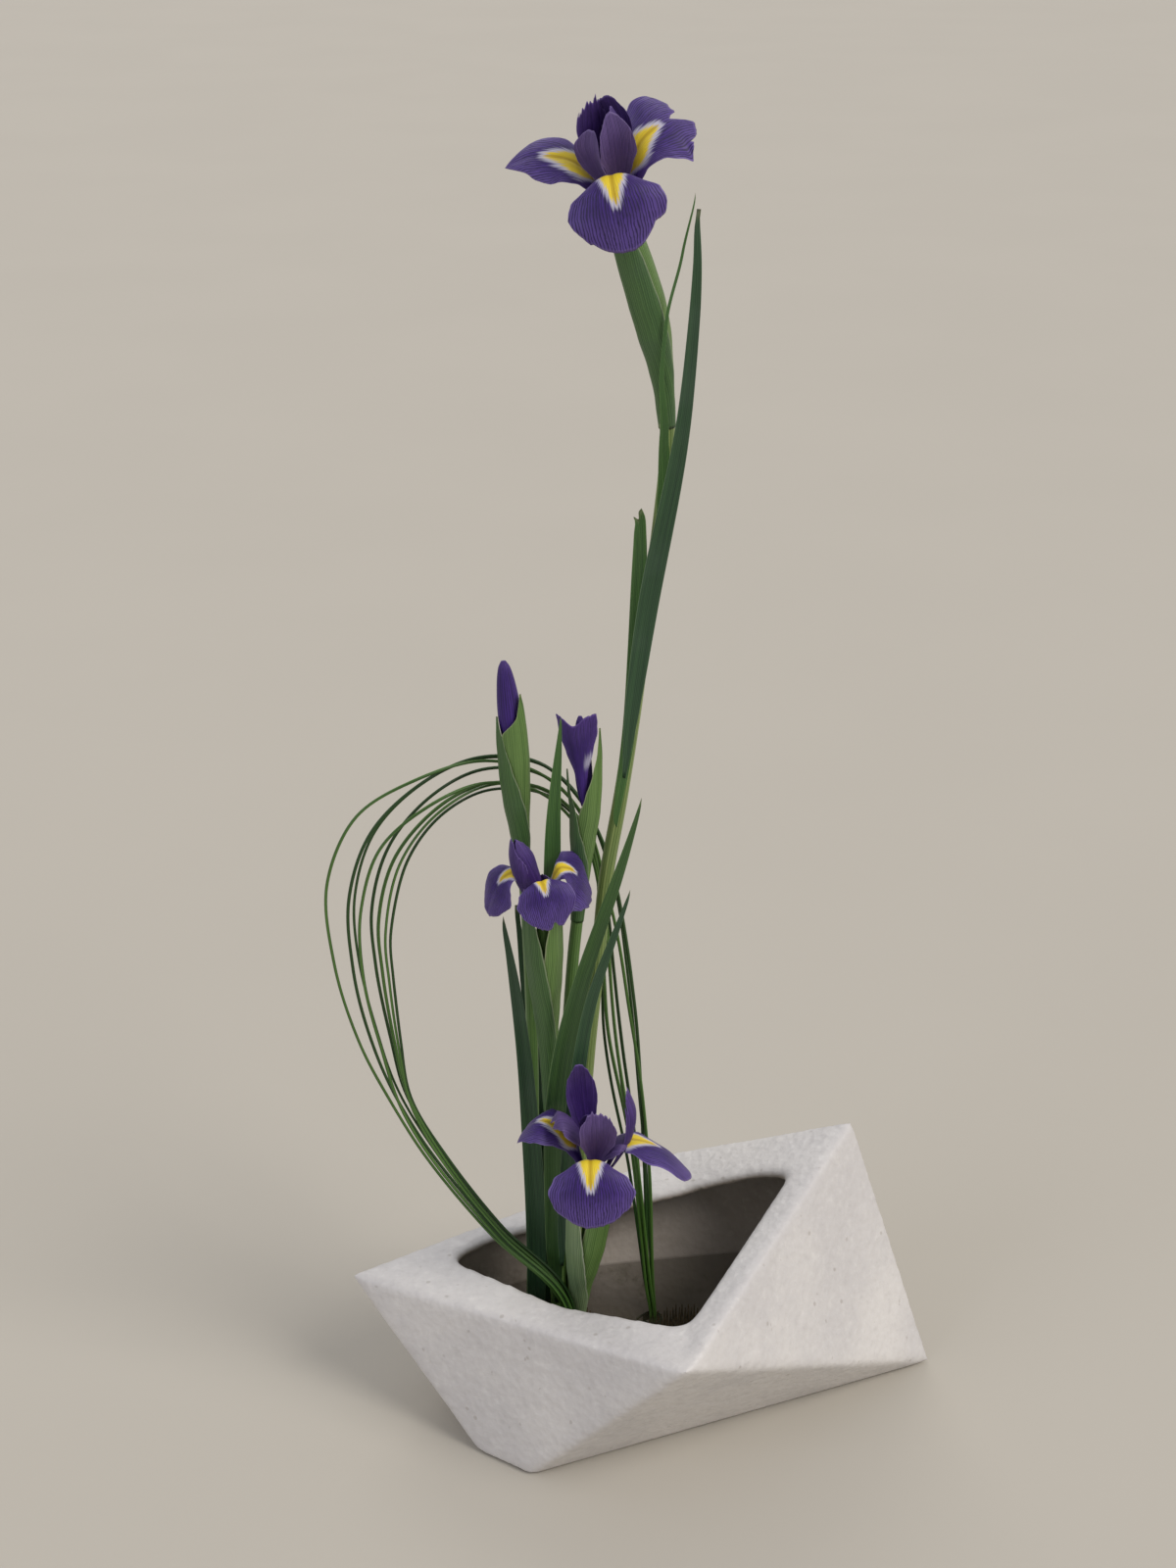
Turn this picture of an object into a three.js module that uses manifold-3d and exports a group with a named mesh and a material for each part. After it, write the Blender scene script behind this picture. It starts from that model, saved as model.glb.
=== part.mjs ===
// Irises in a faceted stoneware vase: an ikebana arrangement with three flowers, two buds, leaves
// and a loop of bent grass, held by two pin holders. Millimetres, +Z up, the vase stands on z = 0.

import * as THREE from 'three';
import { mergeGeometries, mergeVertices } from 'three/addons/utils/BufferGeometryUtils.js';
import { ParametricGeometry } from 'three/addons/geometries/ParametricGeometry.js';
import Module from 'manifold-3d';

const wasm = await Module();
wasm.setup();

// ---- Driving dimensions ----

const GAP = 0.3; // between pieces that touch
const SLIVER = 0.01; // detail finer than this is left out of cut and joined pieces

const VASE_LENGTH = 301; // left tip of the rim to the right foot
const VASE_DEPTH = 186; // front nose to the back of the rim
const VASE_HEIGHT = 130; // floor to the right peak
const STAND_ALONG = 0.402; // the flowers stand at x = 0, this share of the vase's length from its left tip
const STAND_BACK = 0.543; // and at y = 0, this share of its depth from the front nose
const VASE_WALL = 6;
const MOUTH_CORNER = 10; // radius of the opening's corners
const MOUTH_FOOT = VASE_HEIGHT * 0.45; // height that the opening is cut down to, into the hollow

const HOLDER_BASE = 9; // thickness of a pin holder's lead base
const HOLDER_PIN = 13; // pins above the base
const PIN_PITCH = 5.2;
const PIN_RADIUS = 1.1;
const LEFT_HOLDER = { x: -19, y: 0, radius: 27 };
const RIGHT_HOLDER = { x: 50, y: 0, radius: 22 };

const TALL_HEIGHT = 592; // the flowers' bases above the surface that the vase stands on
const MIDDLE_HEIGHT = 279;
const LOW_HEIGHT = 141;
const LEFT_BUD_HEIGHT = 348;
const HALF_BUD_HEIGHT = 323;

const STEM_RADIUS = 3.6;
const BUD_STEM_RADIUS = 3;
const PETAL_THICKNESS = 0.9;
const LEAF_THICKNESS = 1;
const SPATHE_THICKNESS = 0.8;
const SPATHE_PLAY = 1.1; // between the two sheaths round a stem
const GRASS_RADIUS = 0.75;
const LOOP_TOP = 345; // highest point of the bent grass
const BLADE_COUNT = 8;

const PIN_TIP = VASE_WALL + GAP + HOLDER_BASE + HOLDER_PIN;
const FOOT = PIN_TIP - HOLDER_PIN / 2; // stems and leaves are pressed half-way onto the pins

// ---- Materials ----

function finish(color, roughness, metalness = 0) {
  return new THREE.MeshStandardMaterial({ color, roughness, metalness, side: THREE.DoubleSide });
}

const GLAZE = finish(0xb9b4b0, 0.55);
const LEAD = finish(0x4a4034, 0.5, 0.8);
const STEM_GREEN = finish(0x6f8a45, 0.5);
const SHEATH_GREEN = finish(0x4f6b2e, 0.5);
const LEAF_GREEN = finish(0x274a30, 0.45);
const GRASS_GREEN = finish(0x3a5a26, 0.5);
const TIE_GREEN = finish(0x1f3a20, 0.6);
const VIOLET = finish(0x3d2580, 0.6);
const STYLE_VIOLET = finish(0x4a3490, 0.6);

// ---- Helpers ----

const arrangement = new THREE.Group();
const point = (x, y, z) => new THREE.Vector3(x, y, z);
const curve = (points) => new THREE.CatmullRomCurve3(points.map((p) => point(...p)), false, 'centripetal');

// Welds a geometry's vertices, drops collapsed triangles and turns the faces outwards.
function closed(geometry) {
  geometry.deleteAttribute('normal');
  geometry.deleteAttribute('uv');
  const welded = mergeVertices(geometry, 1e-3);
  const position = welded.attributes.position;
  const index = [...welded.index.array];
  const kept = [];
  let volume = 0;
  const [a, b, c] = [point(0, 0, 0), point(0, 0, 0), point(0, 0, 0)];
  for (let i = 0; i < index.length; i += 3) {
    const [p, q, r] = index.slice(i, i + 3);
    if (p === q || q === r || p === r) continue;
    kept.push(p, q, r);
    volume += a.fromBufferAttribute(position, p)
      .dot(b.fromBufferAttribute(position, q).cross(c.fromBufferAttribute(position, r)));
  }
  welded.setIndex(volume < 0 ? kept.reverse() : kept);
  return welded;
}

function toManifold(geometry) {
  const solid = closed(geometry);
  return new wasm.Manifold(new wasm.Mesh({
    numProp: 3,
    vertProperties: new Float32Array(solid.attributes.position.array),
    triVerts: new Uint32Array(solid.index.array),
  }));
}

function fromManifold(manifold) {
  const mesh = manifold.simplify(SLIVER).getMesh();
  const geometry = new THREE.BufferGeometry();
  geometry.setAttribute('position', new THREE.BufferAttribute(mesh.vertProperties, 3));
  geometry.setIndex(new THREE.BufferAttribute(mesh.triVerts, 1));
  return closed(geometry);
}

function piece(name, geometry, material, parent = arrangement) {
  geometry.computeVertexNormals();
  const mesh = new THREE.Mesh(geometry, material);
  mesh.name = name;
  parent.add(mesh);
  return mesh;
}

// A value that runs smoothly through evenly spaced steps, for t from 0 to 1.
function profile(steps, t) {
  const place = t * (steps.length - 1);
  const i = Math.min(Math.floor(place), steps.length - 2);
  const s = place - i;
  return THREE.MathUtils.lerp(steps[i], steps[i + 1], s * s * (3 - 2 * s) * 0.5 + s * 0.5);
}

// A thin closed leaf-like solid. middle(t, side) gives a point of its middle surface and the way up that
// its thickness goes; t runs from base to tip and side from -1 to 1. It thins out at its rim.
function blade(middle, thickness, lengthSteps, halfSteps) {
  const face = (way) => new ParametricGeometry((across, along, out) => {
    const side = across * 2 - 1;
    const rim = Math.sqrt(Math.max(0, 1 - side * side)) * Math.min(1, along * 8, (1 - along) * 8);
    const { at, up } = middle(along, side);
    out.copy(at).addScaledVector(up, (way * rim * thickness) / 2);
  }, halfSteps * 2, lengthSteps);
  const underside = face(-1);
  underside.setIndex([...underside.index.array].reverse());
  return closed(mergeGeometries([face(1), underside]));
}

// A leaf along a curve: its face points along facing, and its two halves fold up by the keel angle.
function leaf({ points, widths, facing, keel = 0.35, thickness = LEAF_THICKNESS, steps = 12 }) {
  const path = curve(points);
  const face = point(...facing).normalize();
  return blade((t, side) => {
    const along = path.getTangentAt(t);
    const across = point(0, 0, 0).crossVectors(along, face).normalize();
    const up = point(0, 0, 0).crossVectors(across, along).normalize();
    const reach = (profile(widths, t) / 2) * side;
    const at = path.getPointAt(t)
      .addScaledVector(across, reach * Math.cos(keel))
      .addScaledVector(up, Math.abs(reach) * Math.sin(keel));
    return { at, up };
  }, thickness, steps, 1);
}

// A sheath that wraps round a curved stem, open along one side, up to a point at its tip.
function sheath({ points, radii, wraps, opens, thickness = SPATHE_THICKNESS, steps = 8 }) {
  const path = curve(points);
  return blade((t, side) => {
    const along = path.getTangentAt(t);
    const x = point(1, 0, 0).addScaledVector(along, -along.x).normalize();
    const y = point(0, 0, 0).crossVectors(along, x);
    const angle = THREE.MathUtils.degToRad(opens + 180 + side * profile(wraps, t));
    const up = point(0, 0, 0).addScaledVector(x, Math.cos(angle)).addScaledVector(y, Math.sin(angle));
    return { at: path.getPointAt(t).addScaledVector(up, profile(radii, t)), up };
  }, thickness, steps, 3);
}

// A round stem along a curve.
function stem({ points, radius, steps = 14, sides = 6 }) {
  const section = new THREE.Shape(
    new THREE.EllipseCurve(0, 0, radius, radius, 0, 2 * Math.PI).getSpacedPoints(sides).slice(0, sides),
  );
  const options = { steps, bevelEnabled: false, extrudePath: curve(points) };
  return closed(new THREE.ExtrudeGeometry(section, options));
}

// ---- Vase ----

// Corners of the vase as shares of its length, depth and height, from its left tip, front nose and floor.
const corner = (x, y, z) => point(
  (x - STAND_ALONG) * VASE_LENGTH, (y - STAND_BACK) * VASE_DEPTH, z * VASE_HEIGHT,
);
const LEFT_TIP = corner(0, 0.575, 0.54);
const NOSE = corner(0.555, 0, 0.69);
const PEAK = corner(0.854, 0.844, 1);
const BACK = corner(0.558, 1, 0.72);
const FOOT_LEFT = corner(0.22, 0.296, 0);
const FOOT_FRONT = corner(0.306, 0.2, 0);
const FOOT_RIGHT = corner(1, 0.694, 0);
const FOOT_BACK_RIGHT = corner(0.774, 0.855, 0);
const FOOT_BACK_LEFT = corner(0.209, 0.704, 0);
const VASE_CORNERS = [
  LEFT_TIP, NOSE, PEAK, BACK, FOOT_LEFT, FOOT_FRONT, FOOT_RIGHT, FOOT_BACK_RIGHT, FOOT_BACK_LEFT,
];
const VASE_FACES = [
  [0, 4, 5], [0, 5, 1], [1, 5, 6], [1, 6, 2], [2, 6, 7], [2, 7, 3], [3, 7, 8], [3, 8, 0], [0, 8, 4],
  [4, 8, 5], [5, 8, 7], [5, 7, 6], [0, 1, 3], [1, 2, 3],
];

// The polyhedron of the vase with every face moved inwards by depth.
function vaseBody(depth) {
  const planes = VASE_FACES.map(([a, b, c]) => new THREE.Plane().setFromCoplanarPoints(
    VASE_CORNERS[a], VASE_CORNERS[b], VASE_CORNERS[c],
  ));
  const positions = VASE_CORNERS.map((place, k) => moveInside(
    place, planes.filter((_, f) => VASE_FACES[f].includes(k)), depth,
  ));
  const geometry = new THREE.BufferGeometry().setFromPoints(positions);
  geometry.setIndex(VASE_FACES.flat());
  return geometry;
}

// The point nearest to depth inside every one of the planes that meet at a corner.
function moveInside(place, planes, depth) {
  const at = place.clone();
  for (let round = 0; round < 400; round++) {
    for (const plane of planes) {
      at.addScaledVector(plane.normal, -(plane.distanceToPoint(at) + depth) * 0.5);
    }
  }
  return at;
}

// The opening in the slanted top, seen from above, with rounded corners. It is cut down to
// MOUTH_FOOT, which lies inside the hollow all round, so that it leaves the walls below whole.
const MOUTH = [
  [0.17, 0.6], [0.36, 0.335], [0.558, 0.188], [0.744, 0.704], [0.684, 0.763], [0.571, 0.8], [0.236, 0.677],
].map(([x, y]) => new THREE.Vector2(corner(x, y, 0).x, corner(x, y, 0).y));

function mouthShape() {
  const shape = new THREE.Shape();
  MOUTH.forEach((here, i) => {
    const before = MOUTH.at(i - 1);
    const after = MOUTH[(i + 1) % MOUTH.length];
    const room = Math.min(here.distanceTo(before), here.distanceTo(after)) * 0.4;
    const reach = Math.min(MOUTH_CORNER, room);
    const start = here.clone().add(before.clone().sub(here).setLength(reach));
    const end = here.clone().add(after.clone().sub(here).setLength(reach));
    if (i === 0) shape.moveTo(start.x, start.y);
    else shape.lineTo(start.x, start.y);
    shape.quadraticCurveTo(here.x, here.y, end.x, end.y);
  });
  shape.closePath();
  return shape;
}

function vase() {
  const outside = toManifold(vaseBody(0));
  const inside = toManifold(vaseBody(VASE_WALL));
  const mouth = new THREE.ExtrudeGeometry(mouthShape(), {
    depth: VASE_HEIGHT, bevelEnabled: false, curveSegments: 3,
  }).translate(0, 0, MOUTH_FOOT);
  const hollow = inside.add(toManifold(mouth));
  piece('vase', fromManifold(outside.subtract(hollow)), GLAZE);
}

// ---- Pin holders ----

const standing = []; // the foot of everything that stands on the pins: x, y and its radius

function foot(x, y, radius) {
  standing.push({ x, y, radius });
  return [x, y, FOOT];
}

function pinHolder(name, { x, y, radius }) {
  const base = new THREE.CylinderGeometry(radius, radius, HOLDER_BASE, 20).rotateX(Math.PI / 2);
  const floor = VASE_WALL + GAP;
  let holder = toManifold(base.translate(x, y, floor + HOLDER_BASE / 2));
  const rows = Math.floor(radius / PIN_PITCH);
  const sunk = 1; // how far a pin's root reaches into the base
  for (let row = -rows; row <= rows; row++) {
    for (let column = -rows; column <= rows; column++) {
      const pinX = x + (column + (row % 2) / 2) * PIN_PITCH;
      const pinY = y + row * PIN_PITCH * 0.87;
      if (Math.hypot(pinX - x, pinY - y) > radius - 2 * PIN_RADIUS) continue;
      const covered = standing.some((s) => Math.hypot(pinX - s.x, pinY - s.y) < s.radius + PIN_RADIUS + GAP);
      if (covered) continue;
      const pin = new THREE.ConeGeometry(PIN_RADIUS, HOLDER_PIN + sunk, 4).rotateX(Math.PI / 2);
      const height = floor + HOLDER_BASE + (HOLDER_PIN - sunk) / 2;
      holder = holder.add(toManifold(pin.translate(pinX, pinY, height)));
    }
  }
  piece(name, fromManifold(holder), LEAD);
}

// ---- Flowers ----

// Outlines in a petal's own plane: how far out and how high its middle line runs from the flower's base.
const LEVEL_FALL = [[3.4, 0], [6, 12], [10, 23], [16, 30], [24, 33], [33, 34], [43, 31]];
const DROOPING_FALL = [[3.4, 0], [6, 12], [10, 23], [16, 29], [25, 27], [34, 20], [41, 9]];
const HANGING_FALL = [[3.4, 0], [6, 12], [10, 23], [15, 29], [21, 27], [28, 17], [33, 2]];
const CURLED_FALL = [[3.4, 0], [6, 12], [10, 24], [16, 32], [25, 35], [32, 29], [36, 18]];
const STANDARD = [[3.4, 3], [9, 16], [13.5, 30], [14, 44], [10, 55]];
const STYLE_ARM = [[0.8, 5], [2.5, 14], [6.5, 24], [12.5, 32], [15, 39], [13, 46]];
const FALL_WIDTHS = [3, 6, 8, 9, 15, 35, 42, 35, 7];
const STANDARD_WIDTHS = [2, 4, 8, 13, 16, 12, 3];
const STYLE_WIDTHS = [1.5, 3.5, 5, 7, 11.5, 11, 5];

// A petal that grows from the flower's axis. cup folds its halves, turn is its direction seen from
// above, and roll twists its outer half about its own middle line.
function petal({ line, widths, cup, turn, roll = 0, size = 1, thickness = PETAL_THICKNESS, steps = 8 }) {
  const path = curve(line.map(([out, up]) => [out * size, 0, up * size]));
  const solid = blade((t, side) => {
    const along = path.getTangentAt(t);
    const twist = THREE.MathUtils.degToRad(roll) * THREE.MathUtils.smoothstep(t, 0.35, 0.75);
    const up = point(-along.z, 0, along.x).applyAxisAngle(along, twist);
    const across = point(0, 1, 0).applyAxisAngle(along, twist);
    const half = (profile(widths, t) / 2) * size;
    const at = path.getPointAt(t)
      .addScaledVector(across, half * side * Math.cos(cup * Math.abs(side)))
      .addScaledVector(up, half * Math.abs(side) * Math.sin(cup * Math.abs(side)));
    return { at, up };
  }, thickness, steps, 1);
  return solid.rotateZ(THREE.MathUtils.degToRad(turn));
}

// A flower on its stem. lean tips its axis over, each fall has its own direction, outline and roll, and
// a standard stands between each two falls.
function flower(name, { at, lean, falls, size, standardHeight }) {
  const head = new THREE.Group();
  head.position.set(...at);
  head.quaternion.setFromUnitVectors(point(0, 0, 1), point(lean[0], lean[1], 1).normalize());
  arrangement.add(head);
  for (const [place, turn, line, roll] of falls) {
    const fall = petal({ line, widths: FALL_WIDTHS, cup: -0.25, turn, roll, size });
    piece(`${name}_fall_${place}`, fall, VIOLET, head);
  }
  const turns = falls.map(([, turn]) => turn);
  ['right', 'back', 'left'].forEach((place, i) => {
    const turn = (turns[i] + (turns[i + 1] ?? turns[0] + 360)) / 2;
    const line = STANDARD.map(([out, up]) => [out, up * standardHeight]);
    const standard = petal({ line, widths: STANDARD_WIDTHS, cup: 0.3, turn, size });
    piece(`${name}_standard_${place}`, standard, VIOLET, head);
  });
  const core = new THREE.CylinderGeometry(1.5 * size, 1.1 * size, 10 * size, 6).rotateX(Math.PI / 2);
  let style = toManifold(core.translate(0, 0, 9 * size));
  for (const turn of turns) {
    style = style.add(toManifold(petal({
      line: STYLE_ARM, widths: STYLE_WIDTHS, cup: -0.3, turn, size, thickness: 1.2,
    })));
  }
  piece(`${name}_style`, fromManifold(style), STYLE_VIOLET, head);
}

// Two sheaths that wrap the top of a stem, one round the other.
function spathes(name, { outer, inner, top, wide, turn }) {
  const radius = STEM_RADIUS + GAP + SPATHE_THICKNESS;
  const step = SPATHE_THICKNESS + SPATHE_PLAY;
  const shape = (points, start) => ({
    points, radii: [start, start + wide * 0.4, start + wide, start + wide * 0.9, start + top],
  });
  piece(`${name}_spathe_outer`, sheath({
    ...shape(outer, radius + step), wraps: [150, 130, 100, 70, 6], opens: turn,
  }), SHEATH_GREEN);
  piece(`${name}_spathe_inner`, sheath({
    ...shape(inner, radius), wraps: [150, 130, 100, 70, 6], opens: turn + 180,
  }), SHEATH_GREEN);
}

// A closed or opening bud: a pointed spindle, flattened a little front to back.
function bud(name, { at, lean, radius, height }) {
  const outline = [[0, 0], [0.55, 0.04], [0.92, 0.25], [1, 0.45], [0.72, 0.75], [0.3, 0.94], [0, 1]];
  const points = outline.map(([out, up]) => new THREE.Vector2(out * radius, up * height));
  const spindle = closed(new THREE.LatheGeometry(points, 8).rotateX(Math.PI / 2).scale(1, 0.8, 1));
  const mesh = piece(name, spindle, VIOLET);
  mesh.position.set(...at);
  mesh.quaternion.setFromUnitVectors(point(0, 0, 1), point(lean[0], lean[1], 1).normalize());
}

// ---- The arrangement ----

const CROWD_TOP = 300; // below this height the stems stand close together
const free = (share) => CROWD_TOP + share * (TALL_HEIGHT - CROWD_TOP);
const onLeft = (x, y, radius = STEM_RADIUS) => foot(LEFT_HOLDER.x + x, LEFT_HOLDER.y + y, radius);
const HUG = STEM_RADIUS + GAP + LEAF_THICKNESS; // from a stem's middle to a leaf that lies on it
const CLEAR = 2 * GAP; // between the end of a stem and the flower or bud on it

function tallIris() {
  const top = [15.5, 18, TALL_HEIGHT];
  const bend = [35, 18, free(0.69)];
  const bow = [33, 18, free(0.78)];
  const neck = [25, 18, free(0.9)];
  piece('tall_stem', stem({
    points: [
      onLeft(13, 12), [-7, 14, 75], [-4, 16, 130], [1, 17, 205], [6, 18, 255], [10, 18, CROWD_TOP],
      [17, 18, free(0.13)], [23, 18, free(0.3)], [29, 18, free(0.48)], [34, 18, free(0.6)],
      bend, bow, neck, top,
    ],
    radius: STEM_RADIUS,
    steps: 24,
  }), STEM_GREEN);
  const wrapped = [bend, bow, neck, [18.5, 17.5, free(0.985)]];
  spathes('tall', { outer: wrapped, inner: wrapped, top: 1.5, wide: 2, turn: 60 });
  flower('tall', {
    at: [top[0] - 0.2, top[1] - 0.2, top[2] + CLEAR],
    lean: [-0.22, -0.25],
    falls: [['front', -90, HANGING_FALL, 0], ['back', 34, LEVEL_FALL, 25], ['left', 164, LEVEL_FALL, -20]],
    size: 1,
    standardHeight: 1,
  });
  const front = 18 - HUG;
  piece('tall_long_leaf', leaf({
    points: [
      [16, front - 3, free(0.14)], [22, front - 4, free(0.31)], [28, 8, free(0.46)], [35, 4, free(0.59)],
      [41, 2, free(0.71)], [44, 0, free(0.83)], [46, -2, free(0.94)], [46, -4, free(1.04)],
    ],
    widths: [3, 8, 10, 10, 8, 6, 5, 3], facing: [0, -1, 0],
  }), LEAF_GREEN);
  piece('tall_cut_leaf', leaf({
    points: [[12, front - 0.5, free(0.05)], [19, front - 0.5, free(0.22)], [24, front - 0.5, free(0.58)]],
    widths: [3, 6, 7, 7, 6], facing: [0, -1, 0], keel: 0.15,
  }), SHEATH_GREEN);
  piece('tall_sheath_leaf', leaf({
    points: [
      [31, front, free(0.53)], [34, front - 3, free(0.63)], [37, front - 5, free(0.73)],
      [39, front - 4, free(0.83)], [42, front, free(0.93)], [46, 18, free(1.05)],
    ],
    widths: [4, 8, 6, 4, 3, 1.5], facing: [0, -1, 0], keel: 0.2,
  }), SHEATH_GREEN);
}

function middleIris() {
  const top = [-21, -8, MIDDLE_HEIGHT];
  const neck = [-19, 1, MIDDLE_HEIGHT - 70];
  const throat = [-20, -4, MIDDLE_HEIGHT - 32];
  piece('middle_stem', stem({
    points: [onLeft(5, 5), [-16, 5, 70], [-17, 5, 125], neck, throat, top], radius: STEM_RADIUS,
  }), STEM_GREEN);
  const wrapped = [neck, throat, [-21, -7.9, MIDDLE_HEIGHT - 1]];
  spathes('middle', { outer: wrapped, inner: wrapped, top: 1, wide: 2, turn: 60 });
  flower('middle', {
    at: [top[0] - 0.2, top[1] - 0.2, top[2] + CLEAR],
    lean: [-0.15, -0.25],
    falls: [
      ['front', -72, CURLED_FALL, 0], ['back', 30, DROOPING_FALL, 15], ['left', 174, HANGING_FALL, -15],
    ],
    size: 0.66,
    standardHeight: 1.2,
  });
  piece('middle_leaf', leaf({
    points: [
      [-17, 11, MIDDLE_HEIGHT - 59], [-17, 11.5, MIDDLE_HEIGHT - 10], [-16, 7, MIDDLE_HEIGHT + 44],
      [-12, 1, MIDDLE_HEIGHT + 96],
    ],
    widths: [4, 8, 9, 8, 5, 1], facing: [0, -1, 0],
  }), LEAF_GREEN);
}

function lowIris() {
  const top = [3, -22, LOW_HEIGHT];
  const middle = [0, -17, LOW_HEIGHT - 33];
  const sheathed = [-4, -11, LOW_HEIGHT - 71];
  piece('low_stem', stem({
    points: [onLeft(12, -9), sheathed, middle, top], radius: STEM_RADIUS, steps: 10,
  }), STEM_GREEN);
  const wrapped = [sheathed, middle, [2.9, -21.8, LOW_HEIGHT - 1]];
  spathes('low', { outer: wrapped, inner: wrapped, top: 2.5, wide: 3.5, turn: 60 });
  flower('low', {
    at: [top[0] + 0.1, top[1] - 0.2, top[2] + CLEAR],
    lean: [-0.05, -0.25],
    falls: [
      ['front', -92, HANGING_FALL, 0], ['right', -2, DROOPING_FALL, -30], ['left', 174, CURLED_FALL, 15],
    ],
    size: 1,
    standardHeight: 1.15,
  });
}

function buds() {
  const closedTop = [-34, 18, LEFT_BUD_HEIGHT];
  const openTop = [-1, 14, HALF_BUD_HEIGHT];
  piece('left_bud_stem', stem({
    points: [
      onLeft(-10, 12, BUD_STEM_RADIUS), [-28, 15, 80], [-27, 17, 180],
      [-29, 18, LEFT_BUD_HEIGHT - 85], closedTop,
    ],
    radius: BUD_STEM_RADIUS,
  }), STEM_GREEN);
  const beside = STEM_RADIUS + BUD_STEM_RADIUS; // it stands against the tall stem
  piece('half_bud_stem', stem({
    points: [
      onLeft(12.6 - beside, 16, BUD_STEM_RADIUS), [-6.4 - beside, 15.5, 80], [-5.4 - beside, 14, 160],
      [-7, 13, HALF_BUD_HEIGHT - 75],
      [-2.4, 14, HALF_BUD_HEIGHT - 30], openTop,
    ],
    radius: BUD_STEM_RADIUS,
  }), STEM_GREEN);
  const budSpathes = (name, path, wraps, opens) => {
    const radius = BUD_STEM_RADIUS + GAP + SPATHE_THICKNESS;
    const step = SPATHE_THICKNESS + SPATHE_PLAY;
    const swell = [0, 1.4, 3, 3.4, 2.8, 2.4];
    piece(`${name}_spathe_outer`, sheath({
      points: path, radii: swell.map((out) => radius + step + out), wraps, opens: opens + 180,
    }), SHEATH_GREEN);
    piece(`${name}_spathe_inner`, sheath({
      points: path, radii: swell.map((out) => radius + out), wraps, opens,
    }), SHEATH_GREEN);
  };
  const leftPath = [
    [-31.5, 18, LEFT_BUD_HEIGHT - 44], [-34, 18, LEFT_BUD_HEIGHT], [-37, 18, LEFT_BUD_HEIGHT + 31],
  ];
  budSpathes('left_bud', leftPath, [150, 130, 100, 70, 45, 5], 0);
  bud('left_bud', {
    at: [closedTop[0], closedTop[1], closedTop[2] + CLEAR], lean: [-0.1, 0], radius: 5.6, height: 47,
  });
  const halfPath = [[-2.2, 14, HALF_BUD_HEIGHT - 30], openTop, [0, 14, HALF_BUD_HEIGHT + 42]];
  budSpathes('half_bud', halfPath, [150, 130, 80, 50, 30, 5], -25);
  bud('half_bud', {
    at: [openTop[0], openTop[1] + 1, openTop[2] + CLEAR], lean: [-0.06, 0], radius: 3.4, height: 44,
  });
  const unrolled = new THREE.Group();
  unrolled.position.set(openTop[0], openTop[1], openTop[2] + CLEAR);
  unrolled.rotation.y = THREE.MathUtils.degToRad(-5);
  arrangement.add(unrolled);
  piece('half_bud_petal', petal({
    line: [[3.2, 2], [3.7, 10], [4.6, 22], [6, 36], [7, 49]],
    widths: [1.5, 4, 11, 21, 24, 17],
    cup: 0.2,
    turn: -100,
  }), VIOLET, unrolled);
}

function freeLeaves() {
  piece('left_broad_leaf', leaf({
    points: [
      onLeft(-8, 3, 3), [-26, 6, 60], [-26, 7, 110], [-28, 8, 150], [-31, 7, 198], [-35, 6, 235],
      [-40, 5, 272],
    ],
    widths: [7, 10, 11, 10, 8, 6, 2], facing: [0, -1, 0],
  }), LEAF_GREEN);
  piece('dark_leaf', leaf({
    points: [
      onLeft(-1, 21, 3), [-20, 25, 90], [-21, 26, 130], [-26, 26, 186], [-31, 27, 230], [-34, 27, 267],
    ],
    widths: [6, 9, 10, 9, 6, 2], facing: [0, -1, 0],
  }), LEAF_GREEN);
  piece('upper_crossing_leaf', leaf({
    points: [
      [-17, -1.5, 58], [-16, -3, 120], [-14, -9, 189], [-6, -13, 236], [4, -14, 272], [15, -15, 306],
      [25, -15, 342],
    ],
    widths: [6, 11, 13, 12, 8, 6, 1.5], facing: [0, -1, 0],
  }), LEAF_GREEN);
  piece('lower_crossing_leaf', leaf({
    points: [
      [-14, -7, LOW_HEIGHT - 57], [-11, -9, LOW_HEIGHT - 11], [-7, -13, LOW_HEIGHT + 37],
      [1, -18, LOW_HEIGHT + 98], [10, -20, LOW_HEIGHT + 127], [20, -22, LOW_HEIGHT + 158],
    ],
    widths: [4, 7, 8, 7, 5, 1.5], facing: [0, -1, 0],
  }), LEAF_GREEN);
}

// ---- Looped grass ----

// The loop as seen from the front, from the tied right end over the top to the left end:
// x and height of its outermost blade, x and height of its innermost blade, and how far back it runs.
const LOOP = [
  [32, 60, 30, 60, 12], [30, 131, 21, 125, 20], [24, 213, 8, 195, 29], [12, 280, 6, 249, 33],
  [-6, 322, 0, 297, 35], [-25, 339, -20, 320, 36], [-52, LOOP_TOP, -46, 325, 32], [-82, 339, -72, 318, 19],
  [-108, 322, -90, 295, 12], [-121, 290, -98, 262, 8], [-120, 248, -96, 240, 4], [-110, 208, -91, 203, 2],
  [-97, 178, -85, 174, 0], [-76, 143, -70, 145, -4], [-46, 104, -43, 107, -9],
  [-14, 72, -11, 74, -12.4 - STEM_RADIUS], // past the low iris
];
const TIED_END = { x: 33, y: 10 };
const LOOSE_END = { x: -4, y: -15.4 - STEM_RADIUS };
const BLADE_PITCH = 2 * GRASS_RADIUS + 0.55; // between neighbouring blades
const PAIR_ORDER = [1, 3, 0, 2]; // where each pair of blades lies from front to back

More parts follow.
